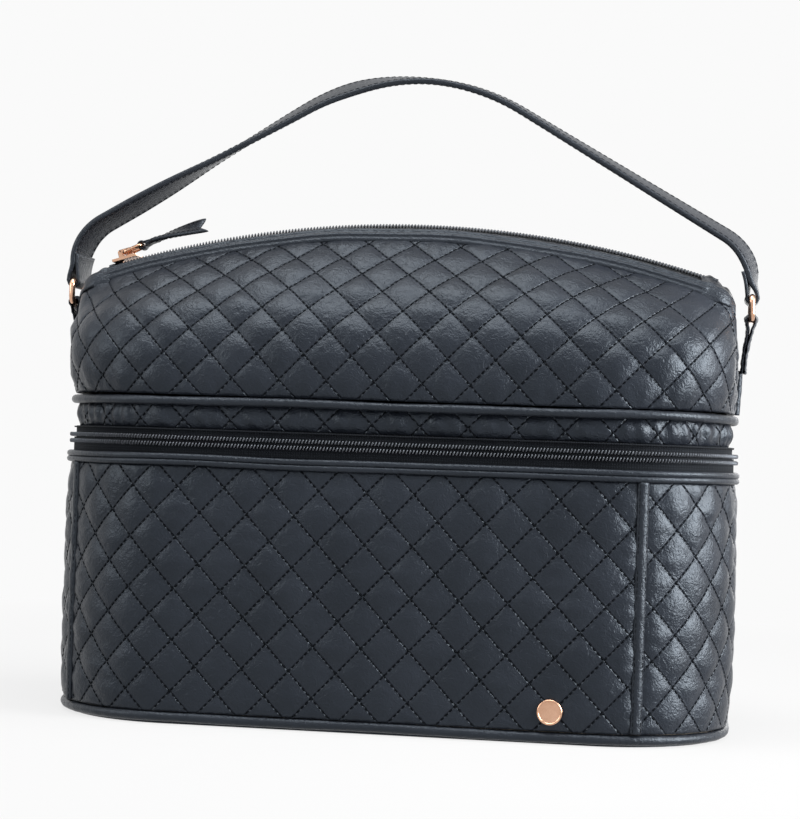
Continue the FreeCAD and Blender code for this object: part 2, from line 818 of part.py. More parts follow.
def strap_tab(sign):
    """Leather tab from the side of the bag to the lower bar of the ring."""
    y = -tab_width / 2
    half = tab_thickness / 2
    steps = range(-tab_seat_steps, tab_seat_steps + 1)
    reach = max(bag_side_x(tab_root_height + k * tab_seat_span / tab_seat_steps) for k in steps)
    root = V(reach + seat_gap + half, y, tab_root_height)
    bar = V(strap_span / 2, y, ring_bottom)
    foot = root - V(0, 0, tab_foot)
    lean = bar - root
    lean.normalize()
    across = V(lean.z, 0, -lean.x) * half
    out = V(half, 0, 0)
    points = [foot - out, root - out, bar - across, bar + across, root + out, foot + out]
    leaf = Part.Face(Part.makePolygon(points + points[:1])).extrude(V(0, tab_width, 0))
    tab = leaf.fuse(eye(1, ring_bottom, tab_width)).cut(eye_hole(1, ring_bottom, tab_width)).removeSplitter()
    if sign < 0:
        tab = tab.mirror(V(0, 0, 0), V(1, 0, 0))
    return tab


# Assembly

os.makedirs("parts", exist_ok=True)

nodes = {
    "base_cover": base_cover(),
    "bottom_piping": bottom_piping(),
    "base_board": base_board(),
    "lower_front_panel": lower_panel_long(-1),
    "lower_back_panel": lower_panel_long(1),
    "lower_left_panel": lower_panel_end(-1),
    "lower_right_panel": lower_panel_end(1),
    "wall_stiffener": wall_stiffener(),
    "lower_lining": lower_lining(),
    "rim_piping": rim_piping(),
    "lower_zip_tape": lower_zip_tape(),
    "lower_zip_row": lower_zip_row(),
    "lower_zip_stops": zip_stops(lower_row_top - zip_row_height, zip_end_angle, zip_end_angle),
    "lower_hinge_leaf": hinge_leaf(lower_tape_bottom, zip_height - hinge_leaf_gap / 2, lower_tape_bottom,
                                   lining_inset),
    "front_stud": front_stud(),
    "upper_zip_tape": upper_zip_tape(),
    "upper_zip_row": upper_zip_row(),
    "upper_zip_stops": zip_stops(upper_row_bottom, upper_left_end(), zip_end_angle),
    "upper_hinge_leaf": hinge_leaf(zip_height + hinge_leaf_gap / 2, upper_tape_top,
                                   upper_tape_top - zip_tape_thickness, band_inner),
    "gathered_band": gathered_band(),
    "upper_piping": upper_piping(),
    "lid_board": lid_board(),
    "lid_lining": lid_lining(),
    "bag_floor": bag_floor(),
    "upper_front_panel": upper_front_panel(),
    "upper_back_panel": mirrored_back(upper_front_panel()),
    "front_bag_lining": upper_lining_half(),
    "back_bag_lining": mirrored_back(upper_lining_half()),
    "top_front_binding": top_binding(),
    "top_back_binding": mirrored_back(top_binding()),
    "top_front_tape": top_tape(),
    "top_back_tape": mirrored_back(top_tape()),
    "top_front_row": top_row(),
    "top_back_row": mirrored_back(top_row()),
    "top_zip_stops": top_stops(),
    "carry_strap": carry_strap(),
    "top_slider": top_slider(),
    "top_bail": top_bail(),
    "top_pull": top_pull(),
    "main_slider": main_slider(),
    "main_bail": to_main_park(bail(main_pull_base)),
    "main_pull": to_main_park(pull_tab(main_pull_base)),
}
for side, sign_x in (("left", -1), ("right", 1)):
    nodes[side + "_side_piping"] = side_piping(sign_x)
    nodes[side + "_zip_end"] = zip_end(sign_x)
    nodes[side + "_ring"] = ring_loop(sign_x, ring_wire_radius)
    nodes[side + "_strap_tab"] = strap_tab(sign_x)
    for face, sign_y in (("front", -1), ("back", 1)):
        nodes[face + "_" + side + "_seam_strip"] = seam_strip(sign_x, sign_y)

for name, shape in nodes.items():
    shape.exportStep("parts/" + name + ".step")
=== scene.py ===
import math

import bpy
import bmesh
import numpy as np
from mathutils import Matrix, Vector


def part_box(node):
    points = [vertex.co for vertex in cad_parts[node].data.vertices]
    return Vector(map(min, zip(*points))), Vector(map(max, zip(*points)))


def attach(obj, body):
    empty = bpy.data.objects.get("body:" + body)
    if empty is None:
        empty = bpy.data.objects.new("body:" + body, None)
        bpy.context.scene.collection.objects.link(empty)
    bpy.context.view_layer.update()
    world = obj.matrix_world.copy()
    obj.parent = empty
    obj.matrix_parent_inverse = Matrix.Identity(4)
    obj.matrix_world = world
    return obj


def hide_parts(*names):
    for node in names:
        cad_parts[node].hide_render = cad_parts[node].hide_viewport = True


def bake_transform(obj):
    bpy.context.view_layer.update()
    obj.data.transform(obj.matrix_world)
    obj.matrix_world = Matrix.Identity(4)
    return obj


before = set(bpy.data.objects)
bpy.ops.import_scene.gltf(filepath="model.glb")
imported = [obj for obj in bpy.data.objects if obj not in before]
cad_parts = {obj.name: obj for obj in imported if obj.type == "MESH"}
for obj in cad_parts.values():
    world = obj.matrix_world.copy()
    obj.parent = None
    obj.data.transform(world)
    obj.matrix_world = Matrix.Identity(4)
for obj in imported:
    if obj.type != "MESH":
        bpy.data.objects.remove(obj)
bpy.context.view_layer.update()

# Looks of a quilted makeup train case: leather, stitching, zips and hardware round its solid model.
# Dimensions are in millimetres, in the frame of the solid model.
MM = 0.001
half_width = 152.5
half_depth = 70.0
corner_radius = 60.0
corner_x = half_width - corner_radius
corner_y = half_depth - corner_radius
quarter = corner_radius * math.pi / 2
half_girth = 2 * corner_x + 2 * quarter + 2 * corner_y


def past_corner(degrees):
    """Distance along the outline from the middle of the front to an angle round the first corner."""
    return corner_x + corner_radius * math.radians(degrees)


wall_bottom = 5.8
wall_top = 113.0
cover_thickness = 4.0
left_seam = past_corner(55)
right_seam = past_corner(20)
lining_inset = 6.2
floor_level = 6.4
base_cord_inset = 2.2
base_cord_level = 3.2
base_cord_radius = 2.2
rim_cord_stand = 0.1
rim_cords = (113.9, 116.35)
rim_cord_radius = 1.4
zip_level = 123.6
lower_row_base = 121.3
upper_row_base = 125.9
row_reach = 1.95
row_stand = 0.9
tape_overlap = 0.3
tooth_pitch = 1.45
tooth_slant = 0.42
tape_inset = 1.4
tape_thickness = 0.8
lower_tape_bottom = 117.2
hinge_bottom = 118.95
upper_tape_top = 129.0
zip_end = past_corner(24)
slider_room = 9.0
upper_zip_start = past_corner(37) + slider_room
stop_length = 2.8
hinge_end = past_corner(20)
hinge_overlap = 0.4
band_bottom = 129.1
band_top = 140.6
band_inset = 5.0
band_thickness = 3.0
upper_piping_level = 141.2
upper_cord_inset = 1.5
upper_cord_radius = 1.95
lid_floor_inset = 8.1
lid_floor_edge = 138.0
lid_floor_middle = 136.8
bag_bottom = 143.8

side_cord_top = 164.0
side_cord_radius = 1.8
tab_level = 172.0
belly_radius = 38.0
belly_share = 0.56
shoulder_share = 0.57
shoulder_drop = 0.30
mouth_half_length = 149.0
mouth_half_width = 28.0
mouth_radius = 9.0
arch_radius = 450.0
arch_height = 218.0
arch_center = arch_height - arch_radius
tent_slope = 0.22
top_zip_half_length = 139.0
row_middle = 0.8
top_row_half = 3.4
top_tooth_reach = 3.1
top_tooth_lift = 1.9
binding_stitch_y = 18.6
patch_overlap = 2.6

# Quilting: diamonds of this width and height, one crossing of the seams at each origin
diamond_width = 20.85
diamond_height = 22.3
lower_origin = (-5.5, 81.5)
upper_origin = (-4.5, 7.8)
band_origin = (-4.5, 133.1)
lower_puff = 1.4
upper_puff = 1.5
band_puff = 1.2
stitch_pitch = 2.6
stitch_length = 1.8
stitch_radius = 0.24
stitch_lift = 0.1
pucker_reach = 2.2


# Meshes from grids of points

def lattice(nu, nv, closed):
    """Four-sided faces of a grid of nu by nv points."""
    i, j = np.meshgrid(np.arange(nu if closed else nu - 1), np.arange(nv - 1), indexing="ij")
    k = (i + 1) % nu
    return np.stack([i * nv + j, k * nv + j, k * nv + j + 1, i * nv + j + 1], -1).reshape(-1, 4)


def piece(name, verts, faces, material, body, recalc=True, weave=None):
    """New mesh object from points in millimetres; weave holds a pair of numbers per point."""
    mesh = bpy.data.meshes.new(name)
    mesh.from_pydata((np.asarray(verts, float) * MM).tolist(), [], [list(f) for f in faces])
    if recalc:
        bm = bmesh.new()
        bm.from_mesh(mesh)
        bmesh.ops.recalc_face_normals(bm, faces=bm.faces)
        bm.to_mesh(mesh)
        bm.free()
    mesh.polygons.foreach_set("use_smooth", [True] * len(mesh.polygons))
    if weave is not None:
        corners = np.zeros(len(mesh.loops), int)
        mesh.loops.foreach_get("vertex_index", corners)
        layer = mesh.uv_layers.new(name="seams")
        layer.data.foreach_set("uv", weave[corners].ravel())
    mesh.materials.append(material)
    obj = bpy.data.objects.new(name, mesh)
    bpy.context.scene.collection.objects.link(obj)
    if body:
        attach(obj, body)
    return obj


def skin(name, outer, inner, material, body, slot, closed=False, capped=False, weave=None):
    """Closed layer between two grids of points; a capped one is filled across its last row."""
    nu, nv = outer.shape[:2]
    quads = lattice(nu, nv, closed)
    faces = [quads, quads[:, ::-1] + nu * nv]
    a = np.arange(nu if closed else nu - 1) * nv
    b = (a + nv) % (nu * nv)
    faces.append(np.stack([b, a, a + nu * nv, b + nu * nv], -1))
    end = nv - 1
    if not capped:
        faces.append(np.stack([a + end, b + end, b + end + nu * nv, a + end + nu * nv], -1))
    if not closed:
        j = np.arange(nv - 1)
        last = (nu - 1) * nv
        faces.append(np.stack([j, j + 1, j + 1 + nu * nv, j + nu * nv], -1))
        faces.append(np.stack([last + j + 1, last + j, last + j + nu * nv, last + j + 1 + nu * nv], -1))
    faces = np.concatenate(faces).tolist()
    if capped:
        loop = np.arange(nu) * nv + end
        faces += [loop.tolist(), (loop[::-1] + nu * nv).tolist()]
    verts = np.concatenate([outer.reshape(-1, 3), inner.reshape(-1, 3)])
    if weave is not None:
        weave = np.tile(weave.reshape(-1, 2), (2, 1))
    return piece(name, verts, faces, material, body, recalc=capped, weave=weave)


def sweep(name, path, side, up, profile, material, body, closed=False):
    """Bar with a closed profile along a path; profile holds (side, up) pairs, one set or one per point."""
    profile = np.broadcast_to(profile, (len(path),) + np.shape(profile)[-2:])
    side, up = (np.broadcast_to(axis, path.shape) for axis in (side, up))
    grid = path[:, None] + side[:, None] * profile[..., :1] + up[:, None] * profile[..., 1:]
    n, m = grid.shape[:2]
    i, j = np.meshgrid(np.arange(n if closed else n - 1), np.arange(m), indexing="ij")
    k = (i + 1) % n
    l = (j + 1) % m
    faces = np.stack([i * m + j, k * m + j, k * m + l, i * m + l], -1).reshape(-1, 4).tolist()
    if not closed:
        faces += [list(range(m))[::-1], list(range((n - 1) * m, n * m))]
    return piece(name, grid.reshape(-1, 3), faces, material, body)


def round_profile(radius, sides=14):
    angles = np.linspace(0, 2 * math.pi, sides, endpoint=False)
    return np.stack([np.cos(angles), np.sin(angles)], -1) * radius


def rounded_loop(half_a, half_b, radius, steps=8):
    """Closed path round a rounded rectangle, as (a, b) pairs."""
    points = []
    for k, (sa, sb) in enumerate(((1, 1), (-1, 1), (-1, -1), (1, -1))):
        for t in np.linspace(0, math.pi / 2, steps):
            angle = k * math.pi / 2 + t
            points.append((sa * (half_a - radius) + radius * math.cos(angle),
                           sb * (half_b - radius) + radius * math.sin(angle)))
    return np.array(points)


def unit(vectors):
    return vectors / np.linalg.norm(vectors, axis=-1, keepdims=True)


def tangents(path, closed=False):
    if closed:
        return unit(np.roll(path, -1, 0) - np.roll(path, 1, 0))
    return unit(np.gradient(path, axis=0))


def run_lengths(points, axis):
    """Distance walked along one direction of a grid."""
    steps = np.linalg.norm(np.diff(points, axis=axis), axis=-1)
    total = np.cumsum(steps, axis=axis)
    return np.insert(total, 0, 0.0, axis=axis)


def walk(path, pitch, *fields):
    """Points every pitch along a path, with the fields read at the same places."""
    length = run_lengths(path, 0)
    at = np.arange(pitch / 2, length[-1], pitch)
    read = [np.stack([np.interp(at, length, f[:, c]) for c in range(3)], -1) for f in (path, *fields)]
    return read if fields else read[0]


def copies(name, template, faces, places, axes, material, body, slot):
    """One mesh made of many copies of a small template, each set on its own three axes."""
    a, b, c = axes
    verts = (places[:, None] + template[None, :, :1] * a[:, None] + template[None, :, 1:2] * b[:, None]
             + template[None, :, 2:] * c[:, None])
    count = len(template)
    all_faces = [[v + k * count for v in f] for k in range(len(places)) for f in faces]
    return piece(name, verts.reshape(-1, 3), all_faces, material, body, recalc=False)


def spindle(stations, sides):
    """Template of a small bar along its first axis: stations hold (place, half height, half width)."""
    angles = np.linspace(0, 2 * math.pi, sides, endpoint=False)
    verts = [(x, h * math.cos(t), w * math.sin(t)) for x, h, w in stations for t in angles]
    faces = []
    for r in range(len(stations) - 1):
        for k in range(sides):
            l = (k + 1) % sides
            faces.append([r * sides + k, (r + 1) * sides + k, (r + 1) * sides + l, r * sides + l][::-1])
    faces.append(list(range(sides))[::-1])
    faces.append(list(range((len(stations) - 1) * sides, len(stations) * sides)))
    return np.array(verts), faces


def sew(name, lines, body, slot, length=stitch_length, pitch=stitch_pitch, radius=stitch_radius):
    """Row of thread stitches along each (path, normals) line."""
    tip = (radius * 0.3, radius * 0.4)
    full = (radius, radius)
    stations = [(-length / 2, *tip), (-length / 4, *full), (length / 4, *full), (length / 2, *tip)]
    template, faces = spindle(stations, 6)
    places, along, normal = [], [], []
    for path, normals in lines:
        if len(path) < 2:
            continue
        p, n, t = walk(path, pitch, normals, tangents(path))
        places.append(p)
        normal.append(n)
        along.append(t)
    places, along, normal = (np.concatenate(x) for x in (places, along, normal))
    normal = unit(normal)
    along = unit(along - normal * np.sum(along * normal, -1, keepdims=True))
    axes = (along, normal, np.cross(along, normal))
    return copies(name, template, faces, places, axes, thread, body, slot)


def ripple(u, v, size, seed, waves=10):
    """Smooth random relief of about plus or minus one, with wrinkles of roughly the given size."""
    rng = np.random.default_rng(seed)
    total = 0.0
    for angle, phase, stretch in rng.uniform(0, 1, (waves, 3)):
        k = 2 * math.pi / (size * (0.6 + stretch))
        along = u * math.cos(math.pi * angle) + v * math.sin(math.pi * angle)
        total = total + np.sin(k * along + 2 * math.pi * phase)
    return total / math.sqrt(2 * waves)


def near(distance, reach):
    return np.exp(-np.square(distance / reach))


def held_down(edge, reach):
    """Rises from 0 at a sewn edge to 1 well away from it."""
    return 1.0 - np.exp(-np.maximum(edge, 0.0) / reach)


def gathers(along, pitch, u, v, seed, size=40.0):
    """Uneven waves along one direction, as in cloth drawn up on a thread."""
    return np.sin(2 * math.pi * along / pitch + 2.0 * ripple(u, v, size, seed))


# Procedural materials

highlight_tint = (0.76, 0.88, 1.0, 1.0)


def nodes_of(name):
    """New node material with its main shader."""
    material = bpy.data.materials.new(name)
    material.use_nodes = True
    tree = material.node_tree
    return material, tree, tree.nodes["Principled BSDF"]


def fill(tree, target, inputs):
    """Links sockets to the inputs of a node, and sets the others to constants."""
    for key, value in inputs.items():
        if isinstance(value, bpy.types.NodeSocket):
            tree.links.new(value, target.inputs[key])
        else:
            target.inputs[key].default_value = value


def node(tree, kind, inputs=None, **settings):
    made = tree.nodes.new(kind)
    for key, value in settings.items():
        setattr(made, key, value)
    fill(tree, made, inputs or {})
    return made


def maths(tree, operation, a, b):
    return node(tree, "ShaderNodeMath", {0: a, 1: b}, operation=operation).outputs["Value"]


def noise(tree, at, scale, detail, distortion=0.0):
    inputs = {"Vector": at, "Scale": scale, "Detail": detail, "Distortion": distortion}
    return node(tree, "ShaderNodeTexNoise", inputs).outputs["Fac"]


def bump(tree, height, strength, distance, under=None):
    """Surface direction tilted by a height, on top of another direction if there is one."""
    inputs = {"Height": height, "Strength": strength, "Distance": distance}
    if under is not None:
        inputs["Normal"] = under
    return node(tree, "ShaderNodeBump", inputs).outputs["Normal"]


def place(tree):
    return node(tree, "ShaderNodeTexCoord").outputs["Object"]


def shades(tree, factor, dark, light, low=0.3, high=0.7):
    """Colour between two shades."""
    ramp = node(tree, "ShaderNodeValToRGB", {"Fac": factor})
    for stop, spot, colour in zip(ramp.color_ramp.elements, (low, high), (dark, light)):
        stop.position = spot
        stop.color = (*colour, 1.0)
    return ramp.outputs["Color"]


def span(tree, value, low, high):
    """A value from 0 to 1 spread over another range."""
    made = node(tree, "ShaderNodeMapRange", {"Value": value, "To Min": low, "To Max": high})
    return made.outputs["Result"]


def seam_gap(tree):
    """Distance from the nearest quilting seam, as a share of the seams' spacing."""
    at = node(tree, "ShaderNodeUVMap", uv_map="seams").outputs["UV"]
    pair = node(tree, "ShaderNodeSeparateXYZ", {"Vector": at})
    gaps = []
    for axis in ("X", "Y"):
        gap = maths(tree, "PINGPONG", pair.outputs[axis], 1.0)
        gaps.append(maths(tree, "MINIMUM", gap, maths(tree, "SUBTRACT", 1.0, gap)))
    return maths(tree, "MINIMUM", *gaps)


def groove(tree, gap, width, bottom=0.0):
    """Smooth step from a value on a seam to 1 at a width beside it."""
    inputs = {"Value": gap, "From Max": width, "To Min": bottom}
    return node(tree, "ShaderNodeMapRange", inputs, interpolation_type="SMOOTHSTEP").outputs["Result"]


def leather(name, dark, light, rough, grain=1500.0, depth=0.00016, seamed=False):
    """Grained leather: pebbles, creases, uneven shine, worn crests and, if seamed, sewn grooves with painted
    shade along them.
    """
    material, tree, shader = nodes_of(name)
    at = place(tree)
    pebble = node(tree, "ShaderNodeTexVoronoi", {"Vector": at, "Scale": grain}, feature="SMOOTH_F1")
    crease = noise(tree, at, 430.0, 6.0, 1.2)
    cloud = noise(tree, at, 38.0, 3.0)
    worn = node(tree, "ShaderNodeNewGeometry").outputs["Pointiness"]
    crest = shades(tree, worn, (0, 0, 0), (0.010, 0.011, 0.013), 0.52, 0.62)
    tone = shades(tree, cloud, dark, light)
    tone = node(tree, "ShaderNodeVectorMath", {0: tone, 1: crest}, operation="ADD").outputs["Vector"]
    normal = bump(tree, pebble.outputs["Distance"], 0.55, depth)
    normal = bump(tree, crease, 0.8, 3 * depth, normal)
    if seamed:
        gap = seam_gap(tree)
        # Painted shade: the colour is darkened down to 0.7 in a narrow strip along each seam groove.
        line = {0: tone, "Scale": groove(tree, gap, 0.6 * groove_share, 0.7)}
        tone = node(tree, "ShaderNodeVectorMath", line, operation="SCALE").outputs["Vector"]
        normal = bump(tree, groove(tree, gap, groove_share), 0.7, 0.0005, normal)
    fill(tree, shader, {"Base Color": tone, "Normal": normal,
                        "Roughness": span(tree, cloud, rough - 0.06, rough + 0.08),
                        "Specular IOR Level": 0.3, "Specular Tint": highlight_tint})
    return material


def woven(name, dark, light, threads=1800.0, rough=0.85):
    """Plain weave: two crossed sets of threads."""
    material, tree, shader = nodes_of(name)
    at = place(tree)
    rows = {"Vector": at, "Scale": threads / 6.28, "Distortion": 0.8, "Detail": 1.0, "Detail Scale": 2.0}
    sets = [node(tree, "ShaderNodeTexWave", rows, bands_direction=axis).outputs["Fac"] for axis in ("X", "Z")]
    weave = maths(tree, "MULTIPLY", *sets)
    cloud = noise(tree, at, 60.0, 3.0)
    tone = shades(tree, maths(tree, "MULTIPLY", weave, cloud), dark, light, 0.0, 0.6)
    fill(tree, shader, {"Base Color": tone, "Normal": bump(tree, weave, 0.5, 0.0002),
                        "Roughness": span(tree, cloud, rough - 0.08, rough + 0.08), "Sheen Weight": 0.05,
                        "Specular IOR Level": 0.15, "Specular Tint": highlight_tint})
    return material


def metal(name, dark, light):
    """Plated metal with faint scratches."""
    material, tree, shader = nodes_of(name)
    at = place(tree)
    cloud = noise(tree, at, 160.0, 4.0)
    scratch = noise(tree, at, 900.0, 2.0, 3.0)
    fill(tree, shader, {"Base Color": shades(tree, cloud, dark, light), "Metallic": 1.0,
                        "Roughness": span(tree, cloud, 0.14, 0.30),
                        "Normal": bump(tree, scratch, 0.06, 0.0001)})
    return material


def moulded(name, dark, light, rough, scale=700.0, shine=0.5):
    """Plastic, waxed thread or board with a fine uneven surface."""
    material, tree, shader = nodes_of(name)
    fleck = noise(tree, place(tree), scale, 4.0)
    fill(tree, shader, {"Base Color": shades(tree, fleck, dark, light),
                        "Roughness": span(tree, fleck, rough - 0.08, rough + 0.1),
                        "Normal": bump(tree, fleck, 0.25, 0.0001),
                        "Specular IOR Level": shine, "Specular Tint": highlight_tint})
    return material


seam_spacing = diamond_width * diamond_height / math.hypot(diamond_width, diamond_height)
groove_share = 0.6 / seam_spacing
quilted = leather("quilted_leather", (0.0062, 0.0076, 0.0112), (0.0100, 0.0120, 0.0170), 0.33, seamed=True)
trim = leather("trim_leather", (0.0060, 0.0072, 0.0102), (0.0098, 0.0115, 0.0158), 0.33, grain=1700.0)
strapping = leather("strap_leather", (0.0080, 0.0090, 0.0118), (0.0130, 0.0145, 0.0185), 0.38, grain=1600.0)
thread = moulded("thread", (0.0012, 0.0014, 0.0019), (0.0030, 0.0034, 0.0045), 0.75, scale=2500.0, shine=0.08)
tape = woven("zip_tape", (0.0022, 0.0026, 0.0036), (0.0075, 0.0088, 0.0120))
lining = woven("lining", (0.006, 0.006, 0.007), (0.024, 0.024, 0.026), threads=2600.0, rough=0.7)
coil = moulded("zip_coil", (0.045, 0.047, 0.053), (0.070, 0.073, 0.082), 0.24)
gold = metal("rose_gold", (0.54, 0.31, 0.20), (0.70, 0.44, 0.31))
board = moulded("stiff_board", (0.16, 0.13, 0.10), (0.24, 0.21, 0.17), 0.85, scale=500.0)


# Outline of the case. Distance along it is 0 at the middle of the front and grows to the right.

corner_marks = np.cumsum([0.0, corner_x, quarter, 2 * corner_y, quarter, corner_x])
center_xs = (0.0, corner_x, corner_x, corner_x, corner_x, 0.0)
center_ys = (-corner_y, -corner_y, -corner_y, corner_y, corner_y, corner_y)
facings = np.radians((-90, -90, 0, 0, 90, 90))


def outline(s, out, z):
    """Points on the case outline moved outwards, and their outward directions."""
    s = (np.asarray(s, float) + half_girth) % (2 * half_girth) - half_girth
    hand = np.where(s < 0, -1.0, 1.0)
    s = np.abs(s)
    facing = np.interp(s, corner_marks, facings)
    normal = np.stack([np.cos(facing) * hand, np.sin(facing), np.zeros_like(facing)], -1)
    center = np.stack([np.interp(s, corner_marks, center_xs) * hand, np.interp(s, corner_marks, center_ys),
                       np.zeros_like(facing)], -1)
    points = center + normal * (corner_radius + np.asarray(out, float))[..., None]
    points[..., 2] = z
    return points, normal


def girth(step=2.0):
    """Places all round the case."""
    return np.linspace(-half_girth, half_girth, round(2 * half_girth / step), endpoint=False)


def wall(s, z, out):
    """Grid of points on the upright wall."""
    return outline(s[:, None] + 0 * z[None], out, z[None] + 0 * s[:, None])


# Quilting

def seam_coordinates(u, v, origin):
    """Numbers that are whole on the two crossing sets of seams."""
    across = (u - origin[0]) / diamond_width
    up = (v - origin[1]) / diamond_height
    return across + up, across - up


def quilt(u, v, origin, seed, height):
    """Height of stuffed diamonds, with small puckers beside the seams and uneven filling."""
    a, b = seam_coordinates(u, v, origin)
    puff = (np.abs(np.sin(math.pi * a)) * np.abs(np.sin(math.pi * b))) ** 0.5
    chance = np.sin(12.9898 * np.floor(a) + 78.233 * np.floor(b) + seed) * 43758.5453
    fullness = 0.8 + 0.4 * (chance - np.floor(chance))
    pucker = 0.0
    for first, second in ((a, b), (b, a)):
        gap = np.abs(first - np.round(first)) * seam_spacing
        row = 3.4 * second + 0.7 * np.round(first) + 0.25 * ripple(u, v, 14.0, seed + 3)
        pucker = pucker + np.sin(2 * math.pi * row) * np.exp(-gap / pucker_reach) * (gap / pucker_reach)
    return height * puff * fullness + 0.13 * pucker + 0.09 * puff * ripple(u, v, 11.0, seed + 1)


def creases(u, v, seed):
    """Long soft wrinkles that lie across the quilting and come and go."""
    where = np.clip(0.5 + 0.8 * ripple(u, v, 55.0, seed + 11), 0, 1)
    return where * ripple(0.4 * u, v + 0.15 * u, 11.0, seed + 12)


def quilt_seams(points, normals, u, v, origin):
    """Lines of the quilting over a grid, as (path, normals)."""
    lines = []
    for number, sign in zip(seam_coordinates(u, v, origin), (1.0, -1.0)):
        rising = number * sign
        for level in range(math.ceil(rising.min()), math.floor(rising.max()) + 1):
            inside = (rising[:, 0] < level) & (rising[:, -1] > level)
            columns = np.flatnonzero(inside)
            if len(columns) < 3:
                continue
            path, facing = [], []
            for i in columns:
                j = np.interp(level, rising[i], np.arange(rising.shape[1]))
                k = min(int(j), rising.shape[1] - 2)
                path.append(points[i, k] + (points[i, k + 1] - points[i, k]) * (j - k))
                facing.append(normals[i, k])
            path = np.array(path)
            facing = np.array(facing)
            for part in np.split(np.arange(len(path)), np.flatnonzero(np.diff(columns) > 1) + 1):
                lines.append((path[part] + facing[part] * stitch_lift, facing[part]))
    return lines


# Lower case

def lower_panel(name, start, end, seed, node_name):
    """Quilted wall panel between two upright seams, with its stitching."""
    s = np.linspace(start, end, round((end - start) / 1.2))
    z = np.linspace(wall_bottom, wall_top, 92)
    u, v = np.meshgrid(s, z, indexing="ij")
    side = np.minimum(u - start, end - u)
    top = wall_top - v
    held = held_down(np.minimum(side, np.minimum(v - wall_bottom, top)), 3.0)
    gather = gathers(v, 7.5, u, v, seed + 5, 30.0) * near(side, 9.0)
    gather = gather + 0.6 * gathers(u, 8.3, u, v, seed + 6) * near(top, 11.0)
    swell = np.sin(math.pi * (v - wall_bottom) / (wall_top - wall_bottom))
    slack = 0.4 * ripple(u, v, 70.0, seed + 2) + 1.1 * swell + 0.3 * creases(u, v, seed)
    relief = quilt(u, v, lower_origin, seed, lower_puff) + slack + 0.3 * gather
    outer, normal = wall(s, z, held * relief - 1.0)
    inner, _ = wall(s, z, 0 * u - cover_thickness)
    weave = np.stack(seam_coordinates(u, v, lower_origin), -1)
    panel = skin(name, outer, inner, quilted, "lower_case", "quilted_leather", weave=weave)
    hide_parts(node_name)
    sew(name + "_stitches", quilt_seams(outer, normal, u, v, lower_origin), "lower_case", "quilted_leather")


def seam_strip(name, s, node_name):
    """Raised leather strip over an upright seam, sewn down along both edges."""
    z = np.linspace(wall_bottom + 0.3, wall_top - 0.3, 100)
    center, normal = outline(np.full_like(z, s), -0.5, z)
    side = np.cross(np.array([0.0, 0.0, 1.0]), normal)
    swell = 1.0 + 0.10 * ripple(z, 0 * z, 12.0, 31)
    half = [(2.6, -0.6), (2.55, 0.5), (2.0, 1.05), (1.1, 1.55)]
    hump = np.array(half + [(0, 1.75)] + [(-x, height) for x, height in half[::-1]])
    profile = hump[None] * np.stack([np.ones_like(z), swell], -1)[:, None]
    strip = sweep(name, center, side, normal, profile, trim, "lower_case")
    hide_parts(node_name)
    rows = [(center + side * x + normal * 1.1, normal) for x in (-1.75, 1.75)]
    sew(name + "_stitches", rows, "lower_case", "trim_leather", length=2.0, pitch=2.8, radius=0.2)


def cord(name, out, z, radius, seed, body, node_name=None):
    """Leather-covered piping cord round the case, slightly uneven."""
    s = girth()
    line, normal = outline(s, out + 0.18 * ripple(s, 0 * s, 60.0, seed), z)
    line[:, 2] += 0.35 * ripple(s, 0 * s, 110.0, seed + 1)
    swell = 1.0 + 0.035 * ripple(s, 0 * s, 6.0, seed + 2) + 0.05 * ripple(s, 0 * s, 35.0, seed + 3)
    profile = round_profile(radius)[None] * swell[:, None, None]
    made = sweep(name, line, normal, (0, 0, 1), profile, trim, body, closed=True)
    if node_name:
        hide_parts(node_name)


def tooth(length):
    """Template of one zip tooth along its first axis."""
    rounds = [(0.0, 0.7, 0.22), (0.12, 0.95, 0.31), (0.5, 1.05, 0.35), (0.84, 0.95, 0.33), (0.95, 0.6, 0.24),
              (1.0, 0.2, 0.1)]
    return spindle([(length * share, tall, wide) for share, tall, wide in rounds], 8)


def collar(name, outer_inset, inner_inset, z0, z1, material, body, slot):
    """Flat sewn ring."""
    u, v = np.meshgrid(girth(), np.linspace(outer_inset, inner_inset, 5), indexing="ij")
    upper, _ = outline(u, -v, z1 + 0.15 * ripple(u, v, 18.0, 41))
    lower, _ = outline(u, -v, z0)
    skin(name, upper, lower, material, body, slot, closed=True)


def tooth_row(name, s, z0, direction, length, shift, body, node_name):
    """Coil of a zip: one slanted rounded tooth per pitch, reaching towards the other row."""
    places = np.arange(s[0] + shift * tooth_pitch, s[1], tooth_pitch)
    center, normal = outline(places, row_stand - tape_inset, z0)
    upright = np.array([0.0, 0.0, 1.0])
    lean = unit(upright + tooth_slant * np.cross(upright, normal)) * direction
    row = copies(name, *tooth(length), center, (lean, normal, np.cross(lean, normal)), coil, body, "zip_coil")
    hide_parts(node_name)


def ribbon(name, s, z0, z1, inset, body, node_name, seed):
    """Woven zip tape on the wall, with a soft wave along its edge."""
    s = np.linspace(s[0], s[1], round((s[1] - s[0]) / 2.0))
    z = np.linspace(z0, z1, 7)
    u, v = np.meshgrid(s, z, indexing="ij")
    out = -inset + 0.2 * ripple(u, v, 26.0, seed)
    outer, _ = wall(s, z, out)
    inner, _ = wall(s, z, out - tape_thickness)
    made = skin(name, outer, inner, tape, body, "zip_tape")
    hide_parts(node_name)


